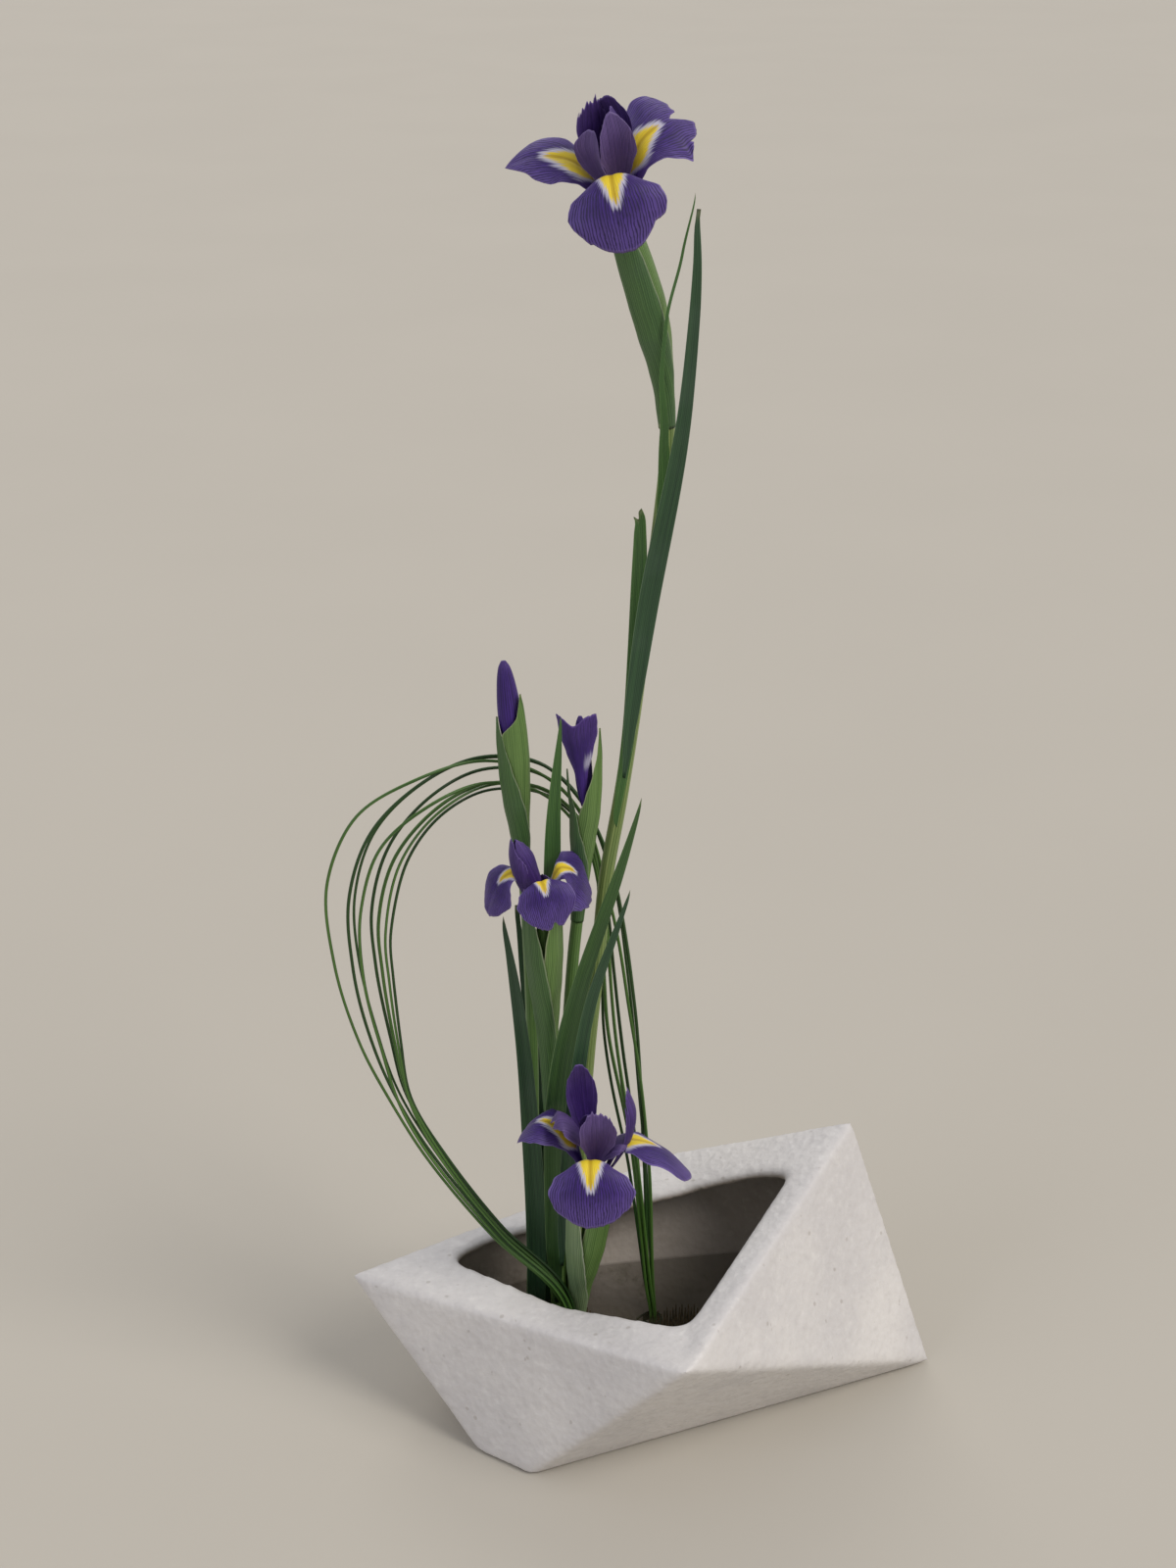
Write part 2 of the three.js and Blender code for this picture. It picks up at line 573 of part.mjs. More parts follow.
// A blade's place in the bundle. Pairs lie side by side at the ends, where side is 1 or -1 for the end
// with the outer blade to the right or left, and spread brings every blade behind the last in the loop.
function bundled(end, i, z, side, spread = 0) {
  const pair = PAIR_ORDER[Math.floor(i / 2)];
  const row = pair - (BLADE_COUNT / 2 - 1) / 2;
  const layer = 2 * pair + (i % 2) - (BLADE_COUNT - 1) / 2;
  const column = side * (i % 2 ? -0.5 : 0.5);
  return [
    end.x + column * BLADE_PITCH * Math.cos(spread * Math.PI / 2),
    end.y + THREE.MathUtils.lerp(row, layer, Math.sin(spread * Math.PI / 2)) * BLADE_PITCH,
    z,
  ];
}

function grass() {
  const tieHeight = PIN_TIP + 10;
  for (let i = 0; i < BLADE_COUNT; i++) {
    const inwards = i / (BLADE_COUNT - 1);
    const loop = LOOP.map(([outX, outZ, inX, inZ, y], k) => {
      const spread = Math.min(1, k / 3, (LOOP.length - 1 - k) / 3);
      const middle = { x: THREE.MathUtils.lerp(outX, inX, inwards), y };
      const side = k < LOOP.length / 2 ? 1 : -1;
      return bundled(middle, i, THREE.MathUtils.lerp(outZ, inZ, inwards), side, spread);
    });
    const points = [
      bundled(TIED_END, i, FOOT, 1), bundled(TIED_END, i, tieHeight + 6, 1), ...loop,
      bundled(LOOSE_END, i, FOOT, -1),
    ];
    piece(`grass_blade_${i + 1}`, stem({ points, radius: GRASS_RADIUS, steps: 34, sides: 4 }), GRASS_GREEN);
  }
  const inner = Math.hypot(BLADE_PITCH / 2, BLADE_PITCH * 1.5) + GRASS_RADIUS + GAP;
  const outer = inner + 0.9;
  const halfWidth = 3;
  const section = new THREE.Path([
    new THREE.Vector2(inner, -halfWidth), new THREE.Vector2(outer, -halfWidth),
    new THREE.Vector2(outer, halfWidth), new THREE.Vector2(inner, halfWidth),
  ]).closePath();
  const ring = new THREE.LatheGeometry(section.getPoints(), 12).rotateX(Math.PI / 2);
  piece('grass_tie', closed(ring.translate(TIED_END.x, TIED_END.y, tieHeight)), TIE_GREEN);
  standing.push({ ...TIED_END, radius: inner }, { ...LOOSE_END, radius: inner });
}

vase();
tallIris();
middleIris();
lowIris();
buds();
freeLeaves();
grass();
pinHolder('kenzan_left', LEFT_HOLDER);
pinHolder('kenzan_right', RIGHT_HOLDER);

// The origin is the middle of the arrangement's footprint box, on the surface that the vase stands on.
const box = new THREE.Box3().setFromObject(arrangement, true);
const middle = box.getCenter(point(0, 0, 0));
arrangement.position.set(-middle.x, -middle.y, -box.min.z);
arrangement.updateMatrixWorld(true);

export default arrangement;
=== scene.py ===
"""Irises in a faceted stoneware vase: an ikebana arrangement with three flowers, two buds, leaves and a
loop of bent grass on two pin holders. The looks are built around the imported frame, in metres."""

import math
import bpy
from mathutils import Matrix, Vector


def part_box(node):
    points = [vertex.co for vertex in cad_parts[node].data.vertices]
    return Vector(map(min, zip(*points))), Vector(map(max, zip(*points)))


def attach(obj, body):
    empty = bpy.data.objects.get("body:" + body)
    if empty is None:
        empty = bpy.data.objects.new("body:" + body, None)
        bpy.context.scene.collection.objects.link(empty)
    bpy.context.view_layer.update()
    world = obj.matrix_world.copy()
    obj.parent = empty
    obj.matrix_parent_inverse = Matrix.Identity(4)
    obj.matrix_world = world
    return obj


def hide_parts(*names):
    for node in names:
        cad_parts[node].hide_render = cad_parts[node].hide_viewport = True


bl_info = {
    "name": "Iris Arrangement",
    "version": (1, 0, 0),
    "blender": (4, 5, 0),
    "location": "3D View > Sidebar > Ikebana",
    "description": "Makes irises, leaves and looped grass in a faceted stoneware vase",
    "category": "Add Mesh",
}

import bpy
import numpy as np
from bpy.props import FloatProperty, FloatVectorProperty, IntProperty, PointerProperty
from mathutils import Matrix, Vector, noise
from mathutils.bvhtree import BVHTree

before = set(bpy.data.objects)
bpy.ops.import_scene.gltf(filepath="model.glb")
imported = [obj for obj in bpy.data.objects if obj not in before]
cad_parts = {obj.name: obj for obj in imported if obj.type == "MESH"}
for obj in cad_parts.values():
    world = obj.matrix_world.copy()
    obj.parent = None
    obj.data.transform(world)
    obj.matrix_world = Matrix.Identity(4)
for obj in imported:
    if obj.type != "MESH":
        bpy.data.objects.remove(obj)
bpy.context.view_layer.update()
MM = 0.001
UP = Vector((0, 0, 1))


# ---- Curves and the frame's own shapes ----

def unit(vectors):
    """Vectors of length one, along the last axis."""
    return vectors / np.maximum(np.linalg.norm(vectors, axis=-1, keepdims=True), 1e-12)


def smooth_path(points, count):
    """Evenly spaced points on a smooth curve through the given ones."""
    points = np.asarray(points, float)
    points = np.vstack([2 * points[0] - points[1], points, 2 * points[-1] - points[-2]])
    fine = []
    for a, b, c, d in zip(points, points[1:], points[2:], points[3:]):
        gaps = [max(np.linalg.norm(q - p), 1e-9) ** 0.5 for p, q in ((a, b), (b, c), (c, d))]
        knots = np.cumsum([0, *gaps])
        t = np.linspace(knots[1], knots[2], 25)[:-1, None]
        ab = a + (b - a) * (t - knots[0]) / (knots[1] - knots[0])
        bc = b + (c - b) * (t - knots[1]) / (knots[2] - knots[1])
        cd = c + (d - c) * (t - knots[2]) / (knots[3] - knots[2])
        abc = ab + (bc - ab) * (t - knots[0]) / (knots[2] - knots[0])
        bcd = bc + (cd - bc) * (t - knots[1]) / (knots[3] - knots[1])
        fine.append(abc + (bcd - abc) * (t - knots[1]) / (knots[2] - knots[1]))
    fine = np.vstack(fine + [points[-2:-1]])
    walked = np.concatenate([[0], np.cumsum(np.linalg.norm(np.diff(fine, axis=0), axis=1))])
    even = np.linspace(0, walked[-1], count)
    return np.stack([np.interp(even, walked, fine[:, k]) for k in range(fine.shape[1])], axis=1)


def profile(steps, t):
    """A value that runs smoothly through evenly spaced steps, for t from 0 to 1."""
    steps = np.asarray(steps, float)
    place = np.clip(t, 0, 1) * (len(steps) - 1)
    i = np.minimum(place.astype(int), len(steps) - 2)
    s = place - i
    return steps[i] + (steps[i + 1] - steps[i]) * (s * s * (3 - 2 * s) + s) / 2


def smoothstep(low, high, x):
    """0 below low, 1 above high, smooth between."""
    s = np.clip((x - low) / (high - low), 0, 1)
    return s * s * (3 - 2 * s)


def wander(x, seed, detail=2):
    """Smooth random values from about -1 to 1 along x, the same at each run."""
    x = np.asarray(x, float)
    values = [noise.fractal(Vector((v, seed * 7.31, 0.5)), 0.5, 2.0, detail) for v in x.ravel()]
    return np.array(values).reshape(x.shape)


def node_mesh(node):
    """The vertices and triangles of a CAD node."""
    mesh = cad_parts[node].data
    mesh.calc_loop_triangles()
    vertices = np.array([v.co for v in mesh.vertices], float)
    triangles = np.array([t.vertices[:] for t in mesh.loop_triangles])
    return vertices, triangles


def slice_at(mesh, height):
    """The points where a mesh's edges cross a level plane."""
    vertices, triangles = mesh
    edges = np.vstack([triangles[:, [0, 1]], triangles[:, [1, 2]], triangles[:, [2, 0]]])
    a, b = vertices[edges[:, 0]], vertices[edges[:, 1]]
    crossing = (a[:, 2] - height) * (b[:, 2] - height) < 0
    a, b = a[crossing], b[crossing]
    return a + (b - a) * ((height - a[:, 2]) / (b[:, 2] - a[:, 2]))[:, None]


def stem_line(node, count=40):
    """The middle line of a standing CAD stem, from its foot to its top."""
    mesh = node_mesh(node)
    low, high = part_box(node)
    knots = []
    for height in np.linspace(low.z + 1.5 * MM, high.z - 3 * MM, 14):
        cut = slice_at(mesh, height)
        knots.append([*(cut[:, :2].min(0) + cut[:, :2].max(0)) / 2, height])
    knots = np.array(knots)
    foot = knots[0] + (knots[0] - knots[1]) * (knots[0][2] - low.z) / (knots[1][2] - knots[0][2])
    top = knots[-1] + (knots[-1] - knots[-2]) * (high.z - knots[-1][2]) / (knots[-1][2] - knots[-2][2])
    return smooth_path(np.vstack([foot, knots, top]), count)


def leaf_lines(node, count=72):
    """The left edge, the middle and the right edge of a standing CAD leaf, from its foot to its tip."""
    mesh = node_mesh(node)
    vertices = mesh[0]
    low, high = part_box(node)
    margin = 0.02 * (high.z - low.z)
    rows = []
    for height in np.linspace(low.z + margin, high.z - margin, 16):
        cut = slice_at(mesh, height)
        flat = cut[:, :2] - cut[:, :2].mean(0)
        across = np.linalg.svd(flat, full_matrices=False)[2][0]
        across *= np.sign(across[0])
        place = flat @ across
        centre = (place.min() + place.max()) / 2
        middle = cut[np.argsort(abs(place - centre))[:4]].mean(0)
        rows.append([cut[place.argmin()], middle, cut[place.argmax()]])
    rows = np.array(rows)
    rows[1:-1] = (rows[:-2] + 2 * rows[1:-1] + rows[2:]) / 4
    tip = vertices[vertices[:, 2].argmax()]
    foot = vertices[vertices[:, 2] < low.z + 0.2 * MM]
    ends = foot[[foot[:, 0].argmin(), foot[:, 0].argmax()]]
    first = np.array([ends[0], ends.mean(0), ends[1]])
    lines = [np.vstack([first[k], rows[:, k], tip]) for k in range(3)]
    return [smooth_path(line, count) for line in lines]


# ---- Making pieces ----

def make_piece(name, shape, finish, slot, *replaces, smooth=True):
    """A mesh piece that rides with the arrangement and stands for its CAD nodes. Its shape is its
    vertices, its faces and its values at each vertex."""
    vertices, faces, attributes = shape
    mesh = bpy.data.meshes.new(name)
    mesh.from_pydata([tuple(v) for v in vertices], [], [tuple(f) for f in faces])
    for key, values in attributes.items():
        layer = mesh.attributes.new(key, "FLOAT", "POINT")
        layer.data.foreach_set("value", np.asarray(values, np.float32).ravel())
    mesh.validate()
    mesh.polygons.foreach_set("use_smooth", [smooth] * len(mesh.polygons))
    mesh.materials.append(finish)
    made = bpy.data.objects.new(name, mesh)
    bpy.context.scene.collection.objects.link(made)
    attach(made, "root")
    if replaces:
        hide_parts(*replaces)


def joined(shapes):
    """Several (vertices, faces, attributes) as one."""
    vertices, faces, attributes, start = [], [], {}, 0
    for points, polygons, values in shapes:
        vertices.append(points)
        faces += [[start + i for i in polygon] for polygon in polygons]
        for key, value in values.items():
            attributes.setdefault(key, []).append(np.asarray(value).ravel())
        start += len(points)
    return np.vstack(vertices), faces, {key: np.concatenate(v) for key, v in attributes.items()}


def thin_sheet(middle, facing, thickness, values):
    """A closed thin solid from a grid of points, its facing directions and its thickness at each point.
    The grid's rim is shared by both sides."""
    rows, columns = middle.shape[:2]
    facing = unit(facing)
    half = (facing * thickness[..., None] / 2)[1:-1, 1:-1]
    top = middle.copy()
    top[1:-1, 1:-1] += half
    under = middle[1:-1, 1:-1] - half
    number = np.arange(rows * columns).reshape(rows, columns)
    below = number.copy()
    below[1:-1, 1:-1] = rows * columns + np.arange(under.shape[0] * under.shape[1]).reshape(under.shape[:2])
    faces = []
    for grid, turned in ((number, False), (below, True)):
        corners = [grid[:-1, :-1], grid[:-1, 1:], grid[1:, 1:], grid[1:, :-1]]
        quads = np.stack(corners, axis=-1).reshape(-1, 4)
        faces += (quads[:, ::-1] if turned else quads).tolist()
    attributes = {
        key: np.concatenate([value.ravel(), value[1:-1, 1:-1].ravel()]) for key, value in values.items()
    }
    return np.vstack([top.reshape(-1, 3), under.reshape(-1, 3)]), faces, attributes


def sheet_values(t, side, half, length):
    """What a leaf's finish reads: the share of its length and the place from edge to edge, and the same
    two as millimetres."""
    level = np.ones_like(t * side)
    return {
        "along": t * level, "side": side * level, "across": side * half / MM,
        "reach": t * length / MM * level,
    }


def ring_faces(rings, sides):
    """The faces between rings of points, with each point's number and the number of the point beside it."""
    number = np.arange(rings * sides).reshape(rings, sides)
    beside = np.roll(number, -1, axis=1)
    faces = np.stack([number[:-1], beside[:-1], beside[1:], number[1:]], axis=-1).reshape(-1, 4)
    return faces, number, beside


def tube(line, radii, sides=14, ridges=0.0, seed=0):
    """A closed round tube along a line, with domed ends. ridges is the share of the radius that its
    lengthwise ribs stand proud."""
    line = np.asarray(line, float)
    count = len(line)
    along = unit(np.gradient(line, axis=0))
    side = unit(np.cross(along, [0.0, -1.0, 0.02]))
    front = np.cross(side, along)
    radii = np.broadcast_to(radii, (count,)).astype(float)
    angle = np.linspace(0, 2 * math.pi, sides, endpoint=False)
    rib = 1 + ridges * np.cos(angle * 7 + seed)
    rings = line[:, None] + radii[:, None, None] * (
        side[:, None] * (np.cos(angle) * rib)[None, :, None]
        + front[:, None] * (np.sin(angle) * rib)[None, :, None]
    )
    vertices = np.vstack([
        rings.reshape(-1, 3), line[0] - along[0] * radii[0] * 0.3, line[-1] + along[-1] * radii[-1] * 0.3,
    ])
    faces, number, beside = ring_faces(count, sides)
    faces = faces.tolist()
    first, last = count * sides, count * sides + 1
    faces += [[beside[0, k], number[0, k], first] for k in range(sides)]
    faces += [[number[-1, k], beside[-1, k], last] for k in range(sides)]
    share = np.linspace(0, 1, count)[:, None] * np.ones(sides)
    around = np.ones(count)[:, None] * (angle / math.pi - 1)
    length = np.linalg.norm(np.diff(line, axis=0), axis=1).sum()
    attributes = {
        "along": [*share.ravel(), 0, 1],
        "side": [*around.ravel(), 0, 0],
        "across": [*(around * math.pi * radii[:, None] / MM).ravel(), 0, 0],
        "reach": [*(share * length / MM).ravel(), 0, length / MM],
    }
    return vertices, faces, attributes


# ---- Finishes ----

def tinted(colour, share):
    return tuple(share * c for c in colour)


class Finish:
    """A procedural material, put together node by node."""

    def __init__(self, name, **sockets):
        self.material = bpy.data.materials.new(name)
        self.material.use_nodes = True
        self.tree = self.material.node_tree
        self.shader = self.tree.nodes["Principled BSDF"]
        for socket, value in sockets.items():
            self.set(socket.replace("_", " "), value)

    def set(self, socket, value):
        self.join(value, self.shader.inputs[socket])

    def join(self, value, socket):
        if isinstance(value, bpy.types.NodeSocket):
            self.tree.links.new(value, socket)
        elif isinstance(value, tuple) and len(value) == 3 and socket.type == "RGBA":
            socket.default_value = (*value, 1)
        else:
            socket.default_value = value

    def attribute(self, name):
        made = self.tree.nodes.new("ShaderNodeAttribute")
        made.attribute_name = name
        return made.outputs["Fac"]

    def place(self):
        return self.tree.nodes.new("ShaderNodeTexCoord").outputs["Object"]

    def height(self):
        made = self.tree.nodes.new("ShaderNodeSeparateXYZ")
        self.tree.links.new(self.place(), made.inputs[0])
        return made.outputs[2]

    def math(self, operation, a, b=0.0):
        made = self.tree.nodes.new("ShaderNodeMath")
        made.operation = operation
        for value, socket in zip((a, b), made.inputs):
            self.join(value, socket)
        return made.outputs[0]

    def times(self, a, b):
        return self.math("MULTIPLY", a, b)

    def plus(self, a, b):
        return self.math("ADD", a, b)

    def span(self, value, low, high):
        """0 below low, 1 above high, smooth between."""
        made = self.tree.nodes.new("ShaderNodeMapRange")
        made.interpolation_type = "SMOOTHSTEP"
        self.join(value, made.inputs["Value"])
        self.join(low, made.inputs["From Min"])
        self.join(high, made.inputs["From Max"])
        return made.outputs["Result"]

    def vector(self, x=0.0, y=0.0, z=0.0):
        made = self.tree.nodes.new("ShaderNodeCombineXYZ")
        for value, socket in zip((x, y, z), made.inputs):
            self.join(value, socket)
        return made.outputs[0]

    def noise(self, vector, scale, detail=3.0, roughness=0.5):
        made = self.tree.nodes.new("ShaderNodeTexNoise")
        self.join(vector, made.inputs["Vector"])
        made.inputs["Scale"].default_value = scale
        made.inputs["Detail"].default_value = detail
        made.inputs["Roughness"].default_value = roughness
        return made.outputs["Fac"]

    def cells(self, vector, scale):
        """The distance from the middles of scattered cells."""
        made = self.tree.nodes.new("ShaderNodeTexVoronoi")
        self.join(vector, made.inputs["Vector"])
        made.inputs["Scale"].default_value = scale
        return made.outputs["Distance"]

    def mix(self, share, a, b):
        made = self.tree.nodes.new("ShaderNodeMix")
        made.data_type = "RGBA"
        for value, index in ((share, 0), (a, 6), (b, 7)):
            self.join(value, made.inputs[index])
        return made.outputs[2]

    def bump(self, height, distance, strength):
        made = self.tree.nodes.new("ShaderNodeBump")
        made.inputs["Strength"].default_value = strength
        made.inputs["Distance"].default_value = distance
        self.join(height, made.inputs["Height"])
        return made.outputs[0]


def petal_finish(name, deep, light, rim, velvet=0.12):
    """Deep violet with fine fanning veins, a paler rim and a feathered yellow signal."""
    f = Finish(name, Roughness=0.52, Sheen_Weight=velvet, Sheen_Roughness=0.4, Specular_IOR_Level=0.35)
    f.shader.inputs["Sheen Tint"].default_value = (0.55, 0.45, 0.9, 1)
    side, along, signal = f.attribute("side"), f.attribute("along"), f.attribute("signal")
    across = f.math("ABSOLUTE", f.attribute("across"))
    streaks = f.noise(f.vector(f.times(side, 9), f.times(along, 1.6), signal), 1, 4, 0.6)
    feathers = f.noise(f.vector(f.times(side, 30), f.times(along, 2.2)), 1, 3, 0.65)
    wave = f.math("SINE", f.plus(f.times(side, 104), f.times(streaks, 10)))
    veins = f.times(f.span(wave, -0.1, 0.9), f.span(along, 0.35, 0.6))
    outer = f.math("MAXIMUM", f.math("ABSOLUTE", side), f.span(along, 0.5, 1.0))
    ground = f.mix(f.span(streaks, 0.3, 0.72), deep, light)
    paler = tuple((c + r) / 2 for c, r in zip(light, rim))
    ground = f.mix(f.times(f.span(outer, 0.35, 1.0), 0.55), ground, paler)
    ground = f.mix(f.times(veins, 0.85), ground, tinted(deep, 0.4))
    edge = f.plus(f.span(f.math("ABSOLUTE", side), 0.93, 1.0), f.span(along, 0.972, 1.0))
    ground = f.mix(f.times(f.math("MINIMUM", edge, 1.0), 0.6), ground, rim)
    mark = f.plus(signal, f.times(f.math("SUBTRACT", feathers, 0.5), 1.1))
    ground = f.mix(f.times(f.span(mark, -0.55, -0.14), 0.92), ground, (0.56, 0.54, 0.66))
    yellow = f.mix(f.span(across, 0.2, 1.6), (0.55, 0.37, 0.012), (0.84, 0.63, 0.03))
    yellow = f.mix(f.times(f.span(wave, 0.3, 1.0), 0.25), yellow, (0.40, 0.25, 0.02))
    ground = f.mix(f.span(mark, -0.16, 0.08), ground, yellow)
    f.set("Base Color", ground)
    relief = f.plus(f.times(veins, -0.6), f.times(streaks, 0.8))
    f.set("Normal", f.bump(relief, 0.00025, 0.55))
    return f.material


def leaf_finish(name, deep, light, edge_colour, bloom=0.25, rib=0.75, gloss=0.42):
    """A leaf with fine parallel ribs, a pale thin edge and a bluish bloom."""
    f = Finish(name, Roughness=gloss, Specular_IOR_Level=0.4)
    side, along = f.attribute("side"), f.attribute("along")
    across, reach = f.attribute("across"), f.attribute("reach")
    streaks = f.noise(f.vector(f.times(across, 0.9), f.times(reach, 0.012)), 1, 4, 0.6)
    cloud = f.noise(f.place(), 38, 3)
    ribs = f.span(f.math("SINE", f.times(across, 2 * math.pi / rib)), -0.3, 1)
    ground = f.mix(f.span(streaks, 0.3, 0.7), deep, light)
    ground = f.mix(f.times(ribs, 0.3), ground, tinted(light, 1.9))
    ground = f.mix(f.times(f.span(cloud, 0.45, 0.7), bloom), ground, (0.065, 0.105, 0.075))
    rim = f.span(f.math("ABSOLUTE", side), 0.93, 0.985)
    ground = f.mix(f.times(rim, 0.8), ground, edge_colour)
    ground = f.mix(f.times(f.span(along, 0.975, 1.0), 0.3), ground, (0.30, 0.26, 0.13))
    f.set("Base Color", ground)
    relief = f.plus(f.times(ribs, 0.7), f.times(streaks, 0.5))
    f.set("Normal", f.bump(relief, 0.0002, 0.6))
    return f.material


def glaze_finish():
    """Off-white stoneware glaze, mottled and speckled with an orange-peel skin, and bare clay inside."""
    f = Finish("Stoneware glaze", Specular_IOR_Level=0.5)
    place = f.place()
    inside, lip = f.attribute("inside"), f.attribute("lip")
    cloud = f.noise(place, 14, 4, 0.6)
    grain = f.noise(place, 210, 4, 0.65)
    ground = f.mix(f.span(cloud, 0.35, 0.7), (0.59, 0.565, 0.555), (0.68, 0.65, 0.625))
    ground = f.mix(f.times(f.span(grain, 0.5, 0.75), 0.3), ground, (0.46, 0.435, 0.425))
    ground = f.mix(f.times(f.span(grain, 0.5, 0.25), 0.3), ground, (0.80, 0.775, 0.745))
    spot = f.cells(place, 170)
    rare = f.span(f.noise(place, 130, 1), 0.60, 0.66)
    specks = f.times(f.span(spot, 0.26, 0.12), rare)
    ground = f.mix(f.times(specks, 0.42), ground, (0.3, 0.26, 0.22))
    bare = f.mix(f.span(cloud, 0.35, 0.7), (0.33, 0.28, 0.235), (0.45, 0.395, 0.345))
    bare = f.mix(f.times(f.span(grain, 0.5, 0.8), 0.5), bare, (0.54, 0.485, 0.425))
    stain = f.span(f.noise(place, 55, 5, 0.7), 0.56, 0.72)
    low = f.span(f.height(), 0.055, 0.03)
    bare = f.mix(f.times(stain, f.times(low, 0.7)), bare, (0.10, 0.085, 0.04))
    ground = f.mix(inside, ground, bare)
    ground = f.mix(f.times(lip, 0.5), ground, (0.40, 0.36, 0.33))
    f.set("Base Color", ground)
    f.set("Roughness", f.plus(0.36, f.times(grain, 0.26)))
    pits = f.cells(place, 260)
    dimples = f.noise(place, 95, 2, 0.5)
    skin = f.plus(f.times(grain, 0.6), f.plus(f.times(pits, 0.5), f.times(dimples, 1.6)))
    f.set("Normal", f.bump(f.plus(skin, f.times(cloud, 1.2)), 0.0009, 0.55))
    return f.material


def metal_finish(name, dark, bright, metal, rough, scale):
    """Worn metal with patches of patina."""
    f = Finish(name, Metallic=metal)
    place = f.place()
    patches = f.noise(place, scale, 5, 0.6)
    f.set("Base Color", f.mix(f.span(patches, 0.35, 0.7), dark, bright))
    f.set("Roughness", f.plus(rough, f.times(patches, 0.25)))
    f.set("Normal", f.bump(patches, 0.0003, 0.4))
    return f.material


def water_finish():
    """Still water, a little brown: mostly seen through, with a bright skin."""
    f = Finish("Water", Roughness=0.03, IOR=1.33, Specular_IOR_Level=0.8)
    ripple = f.noise(f.place(), 24, 2)
    f.set("Base Color", f.mix(f.span(ripple, 0.3, 0.7), (0.07, 0.06, 0.035), (0.11, 0.095, 0.06)))
    f.set("Alpha", f.plus(0.16, f.times(ripple, 0.08)))
    f.set("Normal", f.bump(ripple, 0.0004, 0.2))
    return f.material


def floor_finish(colour):
    """A plain pale floor with the faintest unevenness."""
    f = Finish("Pale floor", Roughness=0.85, Specular_IOR_Level=0.2)
    cloud = f.noise(f.place(), 3, 3)
    f.set("Base Color", f.mix(f.span(cloud, 0.3, 0.7), tinted(colour, 0.985), tuple(colour)))
    return f.material


# ---- Sizes and colours that a user would change ----

def length_setting(name, description, default):
    return FloatProperty(name=name, description=description, default=default, unit="LENGTH")


def colour_setting(name, description, default):
    return FloatVectorProperty(
        name=name, description=description, subtype="COLOR", default=default, min=0, max=1,
    )


class VaseSettings(bpy.types.PropertyGroup):
    voxel: length_setting("Modelling grain", "Size of the clay's facets before smoothing", 1.2 * MM)
    softening: IntProperty(name="Softening", description="Passes that round the edges", default=50)
    unevenness: length_setting("Unevenness", "How far the hand-made faces wave in and out", 0.35 * MM)
    wall: length_setting("Wall", "Thickness of the clay", 6 * MM)
    water_level: length_setting("Water level", "Height of the water above the vase's foot", 44 * MM)


class HolderSettings(bpy.types.PropertyGroup):
    base: length_setting("Base", "Thickness of the lead base", 9 * MM)
    pitch: length_setting("Pin pitch", "Distance between the pins", 3.1 * MM)
    rise: length_setting("Pin rise", "How far the points stand above the holder's own height", 14 * MM)
    pin: length_setting("Pin radius", "Radius of a pin at its root", 0.85 * MM)


class PlantSettings(bpy.types.PropertyGroup):
    stem: length_setting("Stem radius", "Radius of a flower stem", 3.6 * MM)
    bud_stem: length_setting("Bud stem radius", "Radius of a bud's stem", 3 * MM)
    leaf: length_setting("Leaf thickness", "Thickness along a leaf's middle", 0.8 * MM)
    sheath: length_setting("Sheath thickness", "Thickness in a sheath's middle", 0.55 * MM)
    petal: length_setting("Petal thickness", "Thickness in a petal's middle", 0.55 * MM)
    grass: length_setting("Grass radius", "Radius of a blade of the bent grass", 0.75 * MM)
    violet: colour_setting("Petal violet", "Main colour of the petals", (0.052, 0.017, 0.205))


class StageSettings(bpy.types.PropertyGroup):
    distance: length_setting("Camera distance", "From the camera to the flowers, seen from above", 1.03)
    height: length_setting("Camera height", "Above the surface the vase stands on", 0.79)
    pitch: FloatProperty(
        name="Camera pitch", description="How far the camera looks down",
        default=math.radians(23.5), subtype="ANGLE",
    )
    lens: FloatProperty(name="Lens", description="Focal length in millimetres", default=56.25)
    floor: colour_setting("Floor colour", "Colour of the pale floor", (0.50, 0.465, 0.405))


def settings(name):
    return getattr(bpy.context.scene, "ikebana_" + name)


# ---- Vase and water ----

